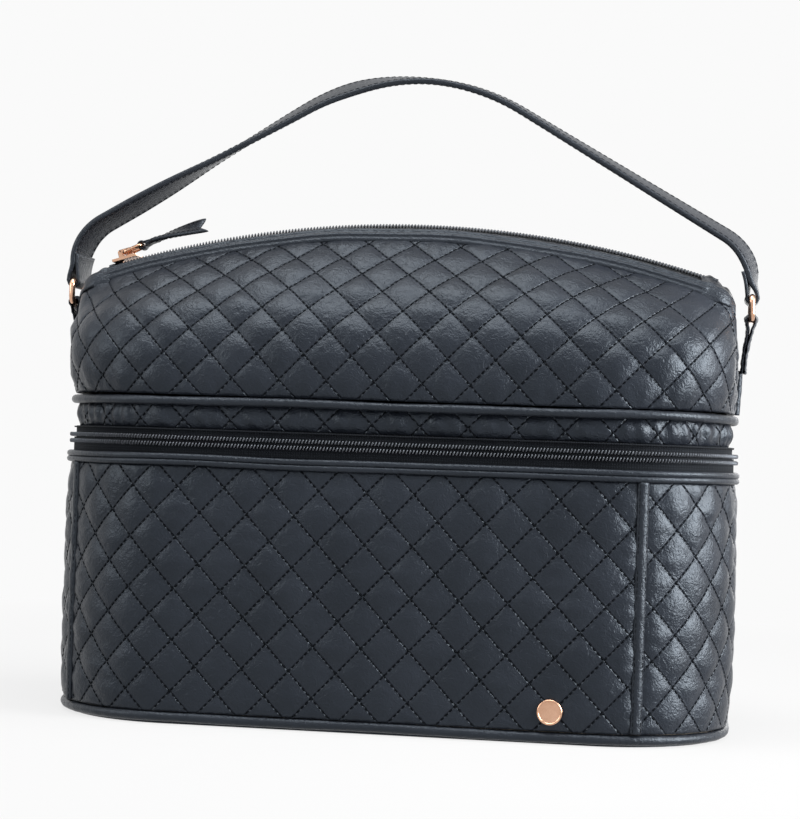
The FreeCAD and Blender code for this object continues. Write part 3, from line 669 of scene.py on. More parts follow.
def floor_panel(name, inset, z0, z1, seed, body, node_name=None):
    """Soft fabric panel that fills the outline, from one level at its edge to another inside."""
    s = girth(3.0)
    inner = np.linspace(inset + 4, corner_radius - 1.0, 16)
    insets = np.concatenate([[inset, inset + 0.6, inset + 1.6], inner])
    u, v = np.meshgrid(s, insets, indexing="ij")
    swell = (z1 - z0) * (1.0 - np.exp(-(v - inset + 0.2) / 1.6))
    upper, _ = outline(u, -v, z0 + swell * (0.9 + 0.1 * ripple(u, v, 25.0, seed)))
    lower, _ = outline(u, -v, z0 + 0 * u)
    panel = skin(name, upper, lower, lining, body, "lining", closed=True, capped=True)
    if node_name:
        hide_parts(node_name)


def case_lining():
    """Fabric inside the lower case: walls with soft drag lines, and the floor."""
    s = girth(2.5)
    bottom = floor_level - 0.7
    z = np.linspace(bottom, wall_top + 0.3, 30)
    u, v = np.meshgrid(s, z, indexing="ij")
    middle = np.sin(math.pi * (v - floor_level) / (wall_top - floor_level))
    drag = 0.35 * ripple(u, 0.25 * v, 22.0, 51) * middle
    face, _ = wall(s, z, -lining_inset - 0.8 + np.minimum(drag, 0.3))
    back, _ = wall(s, z, 0 * u - lining_inset)
    made = skin("case_lining", back, face, lining, "lower_case", "lining", closed=True)
    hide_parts("lower_lining")
    floor_panel("case_lining_floor", lining_inset + 1.3, bottom, floor_level + 0.6, 52, "lower_case")


def stud():
    """Plain round stud: a low dome inside a raised rim."""
    low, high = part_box("front_stud")
    mid = (Vector(low) + Vector(high)) / 2
    x = mid.x / MM
    z = mid.z / MM
    back = -half_depth - 0.4
    rings = [(5.5, 0.0), (5.5, 0.7), (5.3, 1.05), (4.9, 1.15), (4.6, 1.0), (4.5, 0.8), (4.1, 0.85),
             (3.2, 1.2), (2.1, 1.45), (1.0, 1.57), (0.3, 1.6)]
    turns = np.linspace(0, 2 * math.pi, 48, endpoint=False)
    points = []
    for t in turns:
        for radius, height in rings:
            points.append((x + radius * math.cos(t), back - height, z + radius * math.sin(t)))
    faces = lattice(len(turns), len(rings), True).tolist()
    ends = np.arange(len(turns)) * len(rings)
    faces += [ends.tolist(), (ends + len(rings) - 1).tolist()]
    made = piece("front_stud_dome", points, faces, gold, "lower_case")
    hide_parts("front_stud")


lower_panel("lower_quilt_front", -left_seam, right_seam, 1, "lower_front_panel")
lower_panel("lower_quilt_right", right_seam, half_girth - right_seam, 2, "lower_right_panel")
lower_panel("lower_quilt_back", half_girth - right_seam, half_girth + left_seam, 3, "lower_back_panel")
lower_panel("lower_quilt_left", left_seam - half_girth, -left_seam, 4, "lower_left_panel")
seam_strip("seam_front_left", -left_seam, "front_left_seam_strip")
seam_strip("seam_front_right", right_seam, "front_right_seam_strip")
seam_strip("seam_back_left", left_seam - half_girth, "back_left_seam_strip")
seam_strip("seam_back_right", half_girth - right_seam, "back_right_seam_strip")

cord("base_cord", -base_cord_inset, base_cord_level, base_cord_radius, 11, "lower_case", "bottom_piping")
cord("rim_cord_low", rim_cord_stand, rim_cords[0], rim_cord_radius, 13, "lower_case", "rim_piping")
cord("rim_cord_high", rim_cord_stand, rim_cords[1], rim_cord_radius, 13, "lower_case")
collar("rim_lip", 0.0, lining_inset + 0.8, rim_cords[0] + 0.4, rim_cords[1], trim, "lower_case",
       "trim_leather")
case_lining()
stud()
front_run = (zip_end - half_girth, half_girth - zip_end)
tape_run = (hinge_end - hinge_overlap - half_girth, half_girth - hinge_end + hinge_overlap)
ribbon("tape_low", tape_run, lower_tape_bottom, zip_level + tape_overlap, tape_inset, "lower_case",
       "lower_zip_tape", 21)
tooth_row("teeth_low", (front_run[0] + stop_length, front_run[1] - stop_length), lower_row_base, 1, row_reach,
          0.0, "lower_case", "lower_zip_row")


# Lid: zip, gathered band and piping

def gathered_band():
    """Quilted band drawn in under the upper piping, in soft upright gathers that deepen towards the ends."""
    s = girth(1.1)
    z = np.linspace(band_bottom, band_top, 16)
    u, v = np.meshgrid(s, z, indexing="ij")
    middle = np.sin(math.pi * (v - band_bottom) / (band_top - band_bottom))
    turn = np.clip((np.abs(u) - corner_x) / quarter, 0, 1)
    gather = np.sin(2 * math.pi * u / 8.0 + 2.2 * ripple(u, v, 40.0, 61) + 0.25 * v) * (0.35 + 0.9 * turn)
    relief = quilt(u, v, band_origin, 60, band_puff) + 0.75 * gather + 0.3 * ripple(u, v, 9.0, 62)
    outer, normal = wall(s, z, -band_inset + 0.6 + middle * (0.8 + relief))
    inner, _ = wall(s, z, 0 * u - band_inset - band_thickness)
    weave = np.stack(seam_coordinates(u, v, band_origin), -1)
    band = skin("band_quilt", outer, inner, quilted, "upper_bag", "quilted_leather", closed=True, weave=weave)
    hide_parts("gathered_band")
    seams = quilt_seams(outer, normal, u, v, band_origin)
    sew("band_quilt_stitches", seams, "upper_bag", "quilted_leather")


def hinge_fabric():
    """Fabric fold along the back that joins the lid to the case."""
    s = np.linspace(half_girth - hinge_end, half_girth + hinge_end, 120)
    z = np.linspace(hinge_bottom, upper_tape_top, 13)
    u, v = np.meshgrid(s, z, indexing="ij")
    out = -tape_inset + 0.2 * ripple(u, v, 20.0, 71)
    outer, _ = wall(s, z, out)
    inner, _ = wall(s, z, out - tape_thickness)
    fold = skin("hinge_fabric", outer, inner, tape, None, "zip_tape")
    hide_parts("lower_hinge_leaf", "upper_hinge_leaf")
    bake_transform(fold)


# Soft upper bag

def half_outline(share, half_x, half_y, radius):
    """Points on the front half of a rounded rectangle, from the left side seam to the right one."""
    side = half_y - radius - 0.7
    turn = radius * math.pi / 2
    front = half_x - radius
    walked = np.abs(share - 0.5) * 2 * (side + turn + front)
    hand = np.where(share < 0.5, -1.0, 1.0)
    angle = np.clip((walked - front) / radius, 0, math.pi / 2)
    x = np.minimum(walked, front) + radius * np.sin(angle)
    y = -half_y + radius * (1 - np.cos(angle)) + np.maximum(walked - front - turn, 0.0)
    return hand * x, y


def arch_z(x):
    return arch_center + np.sqrt(arch_radius ** 2 - x ** 2)


def bag_points(share, rise):
    """Points on the bag's front skin: share runs round it, rise runs up it."""
    bx, by = half_outline(share, half_width - 1.0, half_depth - 1.0, corner_radius - 1.0)
    ex, ey = half_outline(share, half_width + 1.0, half_depth + 1.0, belly_radius)
    tx, ty = half_outline(share, mouth_half_length, mouth_half_width, mouth_radius)
    top = arch_z(tx)
    tall = top - bag_bottom
    low = np.stack([bx, by, bag_bottom + 0 * bx], -1)
    belly = np.stack([ex, ey, bag_bottom + belly_share * tall], -1)
    shoulder = np.stack([tx + shoulder_share * (ex - tx), ty + shoulder_share * (ey - ty),
                         top - shoulder_drop * tall], -1)
    high = np.stack([tx, ty, top], -1)
    r = rise[..., None]
    q = 1 - r
    return low * q ** 3 + belly * 3 * q ** 2 * r + shoulder * 3 * q * r ** 2 + high * r ** 3


def surface_normals(points):
    along = np.gradient(points, axis=0)
    up = np.gradient(points, axis=1)
    return unit(np.cross(along, up))


share, rise = np.meshgrid(np.linspace(0, 1, 340), np.linspace(0, 1, 92), indexing="ij")
bag_grid = bag_points(share, rise)
bag_normal = surface_normals(bag_grid)
bag_u = run_lengths(bag_grid * (1, 1, 0), 0)
bag_u = bag_u - bag_u[len(bag_u) // 2]
bag_v = run_lengths(bag_grid, 1)


def star_folds(along, up, count, reach, seed):
    """Folds that spread like a star from one spot and die out with distance; along and up start at it."""
    distance = np.hypot(along, up)
    angle = np.arctan2(up, along) + 0.12 * ripple(along, up, 20.0, seed)
    fold = 1.0 - 2.0 * np.abs(np.sin(0.5 * count * angle))
    return fold * near(distance, reach) * (1.0 - near(distance, 7.0))


def bag_relief(seed):
    """Quilting, sag and puckers of a bag panel."""
    side = bag_u[-1] - np.abs(bag_u)
    top = bag_v[:, -1:] - bag_v
    held = held_down(np.minimum(np.minimum(side, top), bag_v), 2.6)
    above_tab = bag_grid[..., 2] - tab_level
    tug = star_folds(side + 5.0, above_tab, 12.0, 40.0, seed + 5)
    tug = tug + 0.8 * star_folds(side + 2.0, bag_v + 3.0, 15.0, 34.0, seed + 9)
    draw = gathers(bag_u, 9.0, bag_u, bag_v, seed + 6) * near(bag_v, 9.0)
    pull = gathers(bag_u, 7.0, bag_u, bag_v, seed + 7) * near(top, 8.0)
    sag = 0.8 * ripple(bag_u, bag_v, 85.0, seed + 2) + 0.22 * ripple(bag_u, bag_v, 24.0, seed + 4)
    sag = sag + 0.22 * creases(bag_u, bag_v, seed)
    relief = quilt(bag_u, bag_v, upper_origin, seed, upper_puff) + sag + 1.2 * tug + 0.25 * (draw + pull)
    room = 1.0 - near(np.hypot(side, above_tab), 34.0)
    return -0.7 + held * np.where(relief > 0, relief * room, relief)


def bag_panel(name, flip, seed, panel_node, lining_node):
    """Quilted half of the bag with its stitching and its lining; flip is -1 for the back half."""
    mirror = np.array([1.0, flip, 1.0])
    outer = bag_grid + bag_normal * bag_relief(seed)[..., None]
    outer[0, :, 1] = outer[-1, :, 1] = -0.4
    inner = bag_grid - bag_normal * cover_thickness
    order = slice(None, None, int(flip))
    weave = np.stack(seam_coordinates(bag_u, bag_v, upper_origin), -1)
    panel = skin(name, (outer * mirror)[order], (inner * mirror)[order], quilted, "upper_bag",
                 "quilted_leather", weave=weave[order])
    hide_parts(panel_node)
    seams = quilt_seams(outer, bag_normal, bag_u, bag_v, upper_origin)
    seams = [(path * mirror, normals * mirror) for path, normals in seams]
    sew(name + "_stitches", seams, "upper_bag", "quilted_leather")
    coarse = (slice(None, None, 4), slice(None, None, 4))
    crumple = 0.3 * ripple(bag_u, bag_v, 30.0, seed + 8)[..., None]
    face = (bag_grid - bag_normal * (cover_thickness + 0.1))[coarse] * mirror
    back = (bag_grid - bag_normal * (cover_thickness + 0.9 + np.abs(crumple)))[coarse] * mirror
    made = skin(name + "_lining", face[order], back[order], lining, "upper_bag", "lining")
    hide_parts(lining_node)


def side_cord(name, hand, node_name):
    """Piping over the side seam below the strap tab."""
    rises = np.linspace(0.0, 0.34, 50)
    line = bag_points(np.ones_like(rises), rises) * (hand, 0, 1)
    line = line - np.array([0.2 * hand, 0, 0])
    line = line[line[:, 2] < side_cord_top]
    out = (hand, 0, 0)
    wobble = 1.0 + 0.05 * ripple(line[:, 2], 0 * line[:, 2], 6.0, 81)
    profile = round_profile(side_cord_radius)[None] * wobble[:, None, None]
    made = sweep(name, line, out, np.cross(tangents(line), out), profile, trim, "upper_bag")
    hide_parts(node_name)


# Top zip on its arch

def tent_lift(y):
    return 0.3 + tent_slope * (mouth_half_width - np.abs(y))


def arch_place(walked, y, lift):
    """Point at a distance along the arch, across it and above it."""
    angle = walked / arch_radius
    reach = arch_radius + lift
    return np.stack([reach * np.sin(angle), y + 0 * angle, arch_center + reach * np.cos(angle)], -1)


def arch_up(points):
    """Directions straight away from the arch's axis."""
    return unit(points * (1, 0, 1) - np.array([0, 0, arch_center]))


def arch_strip(name, profile, half_length, flip, material, node_name, seed=None, step=1.5):
    """Bar along the arch from (y, lift) pairs; a seed adds puckers."""
    walked = np.linspace(-half_length, half_length, round(2 * half_length / step))
    base = arch_place(walked, 0.0, 0.0)
    section = np.broadcast_to(profile, (len(walked),) + np.shape(profile)).copy()
    if seed:
        pucker = ripple(walked, 0 * walked, 5.0, seed)[:, None]
        slow = ripple(walked, 0 * walked, 45.0, seed + 1)[:, None]
        section[..., 1] += 0.13 * pucker * np.sin(np.arange(section.shape[1]))[None] + 0.3 * slow
    made = sweep(name, base, (0, flip, 0), arch_up(base), section, material, "upper_bag")
    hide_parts(node_name)


def binding_profile():
    """Two rolled ridges with a stitched flat beyond them, as (y, lift) for the front half."""
    points = []
    for y, stand, radius, first, last in ((26.2, 0.9, 1.45, -25, 160), (22.5, 2.1, 1.6, 10, 178)):
        for t in np.linspace(math.radians(first), math.radians(last), 9):
            points.append((y + radius * math.cos(t), tent_lift(y) + stand + radius * math.sin(t)))
    points = [(26.6, -1.6), (27.9, -1.9), (28.5, -0.9), (28.2, 0.4)] + points
    for y, stand in ((20.4, 1.25), (16.9, 1.3), (16.1, 0.9), (16.0, 0.0), (27.0, 0.0)):
        points.append((y, tent_lift(y) + stand))
    return np.array(points)


def binding_top():
    """Top of the zip strip from its middle outwards: distances, and the lift at each."""
    outwards = binding_profile()[::-1]
    edge = outwards[outwards[:, 1] > tent_lift(outwards[:, 0]) + 0.2]
    edge = edge[np.argsort(edge[:, 0])]
    middle = [(y, tent_lift(y) + stand) for y, stand in ((0.0, 3.3), (top_row_half, 2.9), (15.8, 1.0))]
    return np.concatenate([middle, edge, [(28.5, -0.6), (29.1, -2.2)]]).T


def top_teeth(name, flip, shift, node_name):
    """Coil of the top zip, one slanted tooth per pitch."""
    reach = top_zip_half_length - stop_length
    walked = np.arange(-reach + shift * tooth_pitch, reach, tooth_pitch)
    lift = tent_lift(row_middle) + top_tooth_lift
    center = arch_place(walked, flip * top_row_half, lift)
    up = arch_up(center)
    inward = np.array([0.0, -flip, 0.0])
    lean = unit(inward + tooth_slant * np.cross(up, inward))
    axes = (lean, up, np.cross(lean, up))
    row = copies(name, *tooth(top_tooth_reach), center, axes, coil, "upper_bag", "zip_coil")
    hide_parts(node_name)


def mouth_half(x):
    """Half width of the bag's opening at a place along it."""
    past = np.maximum(np.abs(x) - mouth_half_length + mouth_radius, 0.0)
    return mouth_half_width - mouth_radius + np.sqrt(np.maximum(mouth_radius ** 2 - past ** 2, 0.0))


def end_patch(name, hand, node_name):
    """Crumpled leather over the end of the opening, turned down over the top edge of the panels."""
    run = np.linspace(0, 1, 22)
    across = np.linspace(-1, 1, 96)
    t, q = np.meshgrid(run, across, indexing="ij")
    start = arch_radius * math.sin(top_zip_half_length / arch_radius) - patch_overlap
    x = start + (mouth_half_length + 0.7 - start) * t
    y = q * (mouth_half(np.minimum(x, mouth_half_length - 0.6)) + 1.1)
    reach = np.abs(q) * (mouth_half_width + 1.1)
    rim = np.clip((t - 0.8) / 0.2, 0, 1) ** 2
    flatten = 1 - 0.5 * np.clip((t - 0.4) / 0.6, 0, 1)
    crumple = 0.5 * ripple(2.0 * x, y, 9.0, 91) + 0.25 * ripple(x, y, 4.5, 92)
    lift = np.interp(reach, *binding_top()) * flatten - 3.5 * rim + np.clip(5 * t, 0, 1) - 0.5
    lift = lift + crumple * np.clip(4 * t, 0, 1) * (1 - 0.6 * rim)
    grids = []
    for extra in (0.0, -1.5):
        grids.append(np.stack([hand * x, y, arch_z(np.minimum(x, mouth_half_length)) + lift + extra], -1))
    order = slice(None, None, int(hand))
    made = skin(name, grids[0][order], grids[1][order], trim, "upper_bag", "trim_leather")
    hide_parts(node_name)


def carried(points, matrix):
    """Points moved by a 4 by 4 matrix in millimetres."""
    m = np.array(matrix)
    return np.asarray(points) @ m[:3, :3].T + m[:3, 3]


def wire_loop(name, path, normal, radius, body, node_name):
    """Bent wire frame along a closed flat path."""
    side = np.cross(tangents(path, True), normal)
    made = sweep(name, path, side, normal, round_profile(radius, 16), gold, body, closed=True)
    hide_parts(node_name)


# Carry strap, rings and tabs

strap_half_span = 157.0
strap_width = 18.0
strap_stitch_edge = 7.4
strap_thickness = 2.6
bar_level = 197.0
ring_level = 187.0
ring_half_length = 10.7
ring_corner = 3.0
ring_wire = 1.4
strap_shoulder = 218.0
strap_crown = 310.0
crown_radius = 100.0
shoulder_radius = 25.0
strap_return = 13.0
eye_radius = 2.6
eye_length = 9.0
eye_thickness = 1.7
tab_ply = 1.5
tab_bend_level = 171.0
tab_seam_top = 173.0
tab_neck_level = 181.8
# How far the strap's front edge drops, in degrees, by place across the case
twist_places = (-157, -152, -129, -113, -93, -55, -29, -6, 9, 44, 64, 92, 128, 148, 157)
twist_angles = (-14, -14, -13, -7, 8, 22, 26, 14, 9, 9, 10, 13, 17, 19, 19)


def strap_center():
    """Middle line of the strap from the left ring to the right one."""
    slope = math.atan2(strap_crown - strap_shoulder, strap_half_span)
    turn = math.pi / 2 - slope
    bend = shoulder_radius * math.tan(turn / 2)
    crown_center = strap_crown - crown_radius / math.cos(slope)
    points = []
    for t in np.linspace(0, slope, 24):
        points.append((crown_radius * math.sin(t), crown_center + crown_radius * math.cos(t)))
    for t in np.linspace(slope, math.pi / 2, 24):
        points.append((strap_half_span - shoulder_radius + shoulder_radius * math.sin(t),
                       strap_shoulder - bend + shoulder_radius * math.cos(t)))
    points.append((strap_half_span, bar_level))
    half = np.array([(x, 0.0, z) for x, z in points])
    whole = np.concatenate([(half * (-1, 1, 1))[::-1], half[1:]])
    return np.concatenate([walk(whole, 1.5), whole[-1:]])


def strap():
    """Twisted strap; each end thins, folds round a ring bar and is sewn back on itself."""
    center = strap_center()
    center[0] = (-strap_half_span, 0, bar_level)
    normal = unit(np.cross(tangents(center), (0.0, 1.0, 0.0)))
    length = run_lengths(center, 0)
    ends = np.minimum(length, length[-1] - length)
    ease = np.clip(ends / eye_length, 0, 1)
    ease = ease * ease * (3 - 2 * ease)
    main = center + normal * (eye_radius * (1 - ease))[:, None]
    folded = ends < strap_return
    back = center[folded] - normal[folded] * (strap_thickness / 2 + eye_thickness / 2 - 0.1)
    count = np.count_nonzero(center[folded, 0] < 0)
    turn = np.linspace(0, math.pi, 12)[1:-1]
    loop = np.stack([np.cos(turn), 0 * turn, -np.sin(turn)], -1) * eye_radius
    path = np.concatenate([back[:count][::-1], center[0] + loop, main, center[-1] + loop, back[count:][::-1]])
    before = count + len(turn)
    after = len(back) - count + len(turn)
    thick = eye_thickness + (strap_thickness - eye_thickness) * ease
    thick = np.concatenate([np.full(before, eye_thickness), thick, np.full(after, eye_thickness)])
    fade = np.clip((ends - 2.0) / 12.0, 0, 1)
    twist = np.interp(center[:, 0], twist_places, twist_angles) * fade
    twist = np.concatenate([twist[folded][:count][::-1], np.zeros(len(turn)), twist, np.zeros(len(turn)),
                            twist[folded][count:][::-1]])
    twist = np.radians(np.convolve(np.pad(twist, 4, mode="edge"), np.ones(9) / 9, mode="valid"))[:, None]
    flat = unit(np.cross(tangents(path), (0.0, 1.0, 0.0)))
    facing = np.where(np.arange(len(path)) < before, -1.0, 1.0)
    facing = np.where(np.arange(len(path)) >= len(path) - after, -1.0, facing)[:, None]
    width = np.cos(twist) * np.array([0.0, 1.0, 0.0]) + np.sin(twist) * flat * facing
    face = unit(np.cross(width, tangents(path))) * -1.0
    stretch = np.stack([np.ones_like(thick), thick / 2.0], -1)
    section = rounded_loop(strap_width / 2, 1.0, 0.8, 4)[None] * stretch[:, None]
    made = sweep("strap_band", path, width, face, section, strapping, "strap")
    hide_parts("carry_strap")
    run = slice(before + 8, len(path) - after - 8)
    rows = []
    for edge in (-strap_stitch_edge, strap_stitch_edge):
        for side in (-1, 1):
            out = face[run] * side
            rows.append((path[run] + width[run] * edge + out * strap_thickness / 2, out))
    sew("strap_band_stitches", rows, "strap", "strap_leather", length=2.2, pitch=3.0, radius=0.22)


def ring_piece(name, hand, node_name):
    loop = rounded_loop(ring_half_length, (bar_level - ring_level) / 2, ring_corner)
    level = (bar_level + ring_level) / 2
    path = np.stack([np.full(len(loop), hand * strap_half_span), loop[:, 0], level + loop[:, 1]], -1)
    wire_loop(name, path, (1, 0, 0), ring_wire, "strap", node_name)


def soften(path, rounds=3):
    """Cuts the corners of a path."""
    for _ in range(rounds):
        a, b = path[:-1], path[1:]
        cut = np.stack([0.75 * a + 0.25 * b, 0.25 * a + 0.75 * b], 1).reshape(-1, 3)
        path = np.concatenate([path[:1], cut, path[-1:]])
    return path


def tab(name, hand, node_name):
    """Gathered leather tab sewn to the side of the bag, folded over the lower bar of the ring."""
    low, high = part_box(node_name)
    width = (high.y - low.y) / MM
    root = min(abs(low.x), abs(high.x)) / MM + 1.1
    foot = low.z / MM
    reach = 1.5 + tab_ply / 2
    turn = np.linspace(-0.6, math.pi + 0.6, 16)
    over = [(strap_half_span + reach * math.cos(t), ring_level + reach * math.sin(t)) for t in turn]
    neck = strap_half_span - 0.4
    route = [(root + 1.1, foot), (root + 1.3, tab_bend_level), (neck + 0.85, tab_neck_level), *over,
             (neck - 0.85, tab_neck_level), (root + 0.2, tab_bend_level), (root - 0.1, foot)]
    path = soften(np.array([(hand * x, 0.0, z) for x, z in route]))
    side = (0.0, 1.0, 0.0)
    face = unit(np.cross(side, tangents(path)))
    across = np.linspace(-1, 1, 15)
    outer = np.stack([across * width / 2, tab_ply / 2 * (1 - np.abs(across) ** 6)], -1)
    section = np.concatenate([outer, outer[::-1] * (1, -1)])
    crumple = 0.3 * ripple(path[:, 2:3] * 1.8, 0.5 * section[None, :, 0], 5.0, 83)
    section = np.broadcast_to(section, (len(path),) + section.shape).copy()
    section[..., 1] += crumple
    made = sweep(name, path, side, face, section, strapping, "strap")
    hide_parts(node_name)
    x = root + 0.4 + tab_ply / 2
    half = width / 2 - 1.8
    corners = [(x + 0.6, -half, tab_seam_top), (x, -half, foot + 1.8), (x, half, foot + 1.8),
               (x + 0.6, half, tab_seam_top)]
    line = np.concatenate([np.linspace(a, b, 12)[:-1] for a, b in zip(corners, corners[1:])]) * (hand, 1, 1)
    normals = np.broadcast_to((float(hand), 0.0, 0.0), line.shape)
    sew(name + "_stitches", [(line, normals)], "strap", "strap_leather", length=1.7, pitch=2.4, radius=0.2)


# Sliders and pulls

bail_size = 9.0
bail_wire = 0.9
bail_lift = 2.1
pull_length = 32.0
pull_half_width = 5.0
pull_notch = 4.0
pull_start = bail_size + 1.9
top_park_x = -131.0
top_bail_tilt = math.radians(-8.0)
top_slider_height = 4.7
top_bail_level = arch_height + tent_lift(row_middle) + top_slider_height + bail_lift
main_park_angle = math.radians(217)
main_slider_stand = 2.5


def move(x, y, z):
    return Matrix.Translation((x, y, z))


def about_y(angle, z):
    """Turn about the axis along y at a level."""
    return move(0, 0, z) @ Matrix.Rotation(angle, 4, "Y") @ move(0, 0, -z)


top_place = about_y(math.asin(top_park_x / arch_radius), arch_center) @ about_y(top_bail_tilt, top_bail_level)
top_place = top_place @ move(0, 0, top_bail_level)
main_place = move(-corner_x, corner_y, 0) @ Matrix.Rotation(main_park_angle, 4, "Z")
main_place = main_place @ move(0, -corner_radius - main_slider_stand, zip_level)
main_place = main_place @ Matrix.Rotation(math.radians(-90), 4, "Z")
main_place = main_place @ Matrix.Rotation(math.radians(90), 4, "Y") @ move(0, 0, bail_lift)


def bail(name, matrix, body, node_name):
    loop = rounded_loop(bail_size / 2, bail_size / 2, 1.8)
    path = np.stack([loop[:, 0] + bail_size / 2, loop[:, 1], 0 * loop[:, 0]], -1)
    normal = np.array(matrix)[:3, 2]
    wire_loop(name, carried(path, matrix), normal, bail_wire, body, node_name)


def pull(name, matrix, body, node_name, curl, droop):
    """Leather pull with a swallow-tail end, folded round the far bar of its bail, turning as it runs out."""
    neck = bail_size / 2 - bail_wire - 0.4
    t, q = np.meshgrid(np.linspace(0, 1, 40), np.linspace(-1, 1, 17), indexing="ij")
    half = neck + (pull_half_width - neck) * np.clip((t * pull_length - 2.5) / 2.0, 0, 1)
    end = bail_size + pull_length - pull_notch * (1 - np.abs(q))
    x = pull_start + t * (end - pull_start)
    thin_edge = 1 - 0.55 * np.clip(np.abs(q) - 0.78, 0, 1) / 0.22
    thick = 1.1 * thin_edge * (1 - 0.4 * near(1 - t, 0.02))
    turn = curl * t * t * (3 - 2 * t)
    y = q * half
    sheets = []
    for side in (1, -1):
        z = side * thick
        sheet = np.stack([x, y * np.cos(turn) - z * np.sin(turn),
                          y * np.sin(turn) + z * np.cos(turn) - droop * t * t], -1)
        sheets.append(carried(sheet, matrix))
    blade = skin(name, *sheets, strapping, body, "strap_leather")
    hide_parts(node_name)
    angle = np.linspace(math.radians(35), math.radians(325), 22)
    fold = np.stack([bail_size + 1.75 * np.cos(angle), 0 * angle, 1.75 * np.sin(angle)], -1)
    fold = np.concatenate([[(bail_size + 4.2, 0, 0.62)], fold, [(bail_size + 4.2, 0, -0.62)]])
    fold = carried(soften(fold, 2), matrix)
    across = np.array(matrix)[:3, 1]
    up = np.cross(tangents(fold), across)
    section = rounded_loop(neck, 0.45, 0.35, 4)
    sweep(name + "_fold", fold, across, up, section, strapping, body)
    rows = []
    for sheet, side in zip(sheets, (1, -1)):
        normals = surface_normals(sheet) * side
        for column in (3, -4):
            facing = normals[6:-2, column]
            rows.append((sheet[6:-2, column] + facing * 0.05, facing))
    sew(name + "_stitches", rows, body, "strap_leather", length=1.6, pitch=2.3, radius=0.18)


def dress_solid(node_name, material, width=0.0):
    """Material for a solid piece that is shown as it is, with edges rounded to a width."""
    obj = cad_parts[node_name]
    obj.data.materials.clear()
    obj.data.materials.append(material)
    weld = obj.modifiers.new("weld", "WELD")
    weld.merge_threshold = 0.00002
    if width:
        bevel = obj.modifiers.new("bevel", "BEVEL")
        bevel.width = width * MM
        bevel.segments = 3
        bevel.limit_method = "ANGLE"
        bevel.angle_limit = math.radians(35)
        bevel.harden_normals = True


def top_zip_side(side, flip):
    """Binding, tape, teeth and stitching on one side of the top zip."""
    length = top_zip_half_length
    arch_strip("binding_" + side, binding_profile(), length, flip, trim,
               "top_" + side + "_binding", seed=95 + flip)
    section = ((15.9, 0.0), (15.9, 0.8), (4.6, 0.8), (3.9, 1.3), (0.5, 1.3), (0.5, 0.0))
    section = np.array([(y, tent_lift(y) + stand) for y, stand in section])
    arch_strip("top_tape_" + side, section, length, flip, tape, "top_" + side + "_tape")
    top_teeth("top_teeth_" + side, flip, 0.25 + 0.25 * flip, "top_" + side + "_row")
    walked = np.linspace(1 - length, length - 1, 180)
    lift = tent_lift(binding_stitch_y) + 1.35
    line = arch_place(walked, flip * binding_stitch_y, lift)
    row = [(line, arch_up(line))]
    sew("binding_" + side + "_stitches", row, "upper_bag", "trim_leather", length=2.2, pitch=3.0)


gathered_band()
cord("upper_cord", -upper_cord_inset, upper_piping_level, upper_cord_radius, 15, "upper_bag", "upper_piping")
ribbon("tape_high", (upper_zip_start - half_girth, tape_run[1]), zip_level - tape_overlap, upper_tape_top,
       tape_inset + tape_thickness + 0.1, "upper_bag", "upper_zip_tape", 22)
tooth_row("teeth_high", (upper_zip_start - half_girth + stop_length, front_run[1] - stop_length),
          upper_row_base, -1, row_reach, 0.5, "upper_bag", "upper_zip_row")
collar("lid_lip", tape_inset, band_inset + band_thickness, upper_tape_top - 0.8, upper_tape_top - 0.2, tape,
       "upper_bag", "zip_tape")
hinge_fabric()
floor_panel("lid_lining_panel", lid_floor_inset, lid_floor_edge, lid_floor_middle, 53, "upper_bag",
            "lid_lining")
bag_panel("bag_quilt_front", 1, 5, "upper_front_panel", "front_bag_lining")
bag_panel("bag_quilt_back", -1, 7, "upper_back_panel", "back_bag_lining")
side_cord("side_cord_left", -1, "left_side_piping")
side_cord("side_cord_right", 1, "right_side_piping")
top_zip_side("front", -1)
top_zip_side("back", 1)
for side, hand in (("left", -1), ("right", 1)):
    end_patch("zip_patch_" + side, hand, side + "_zip_end")
    ring_piece(side + "_ring_wire", hand, side + "_ring")
    tab(side + "_tab", hand, side + "_strap_tab")
strap()
bail("top_bail_wire", top_place, "top_pull", "top_bail")
pull("top_pull_leather", top_place, "top_pull", "top_pull", math.radians(45), 3.5)
bail("main_bail_wire", main_place, "main_pull", "main_bail")
pull("main_pull_leather", main_place, "main_pull", "main_pull", 0.0, 0.0)
for name in ("top_slider", "main_slider"):
    dress_solid(name, gold, 0.35)
for name in ("lower_zip_stops", "upper_zip_stops", "top_zip_stops"):
    dress_solid(name, coil, 0.2)
dress_solid("base_cover", trim)
for name in ("base_board", "wall_stiffener", "lid_board"):
    dress_solid(name, board)
dress_solid("bag_floor", lining)


# Stage, light and camera

backdrop = 0.956    # how white the background shows


def sees_backdrop(tree):
    """1 on rays that see the white backdrop: from the camera, off gloss and through glass."""
    path = node(tree, "ShaderNodeLightPath")
    total = path.outputs["Is Camera Ray"]
    for kind in ("Is Glossy Ray", "Is Transmission Ray"):
        total = maths(tree, "MAXIMUM", total, path.outputs[kind])
    return total


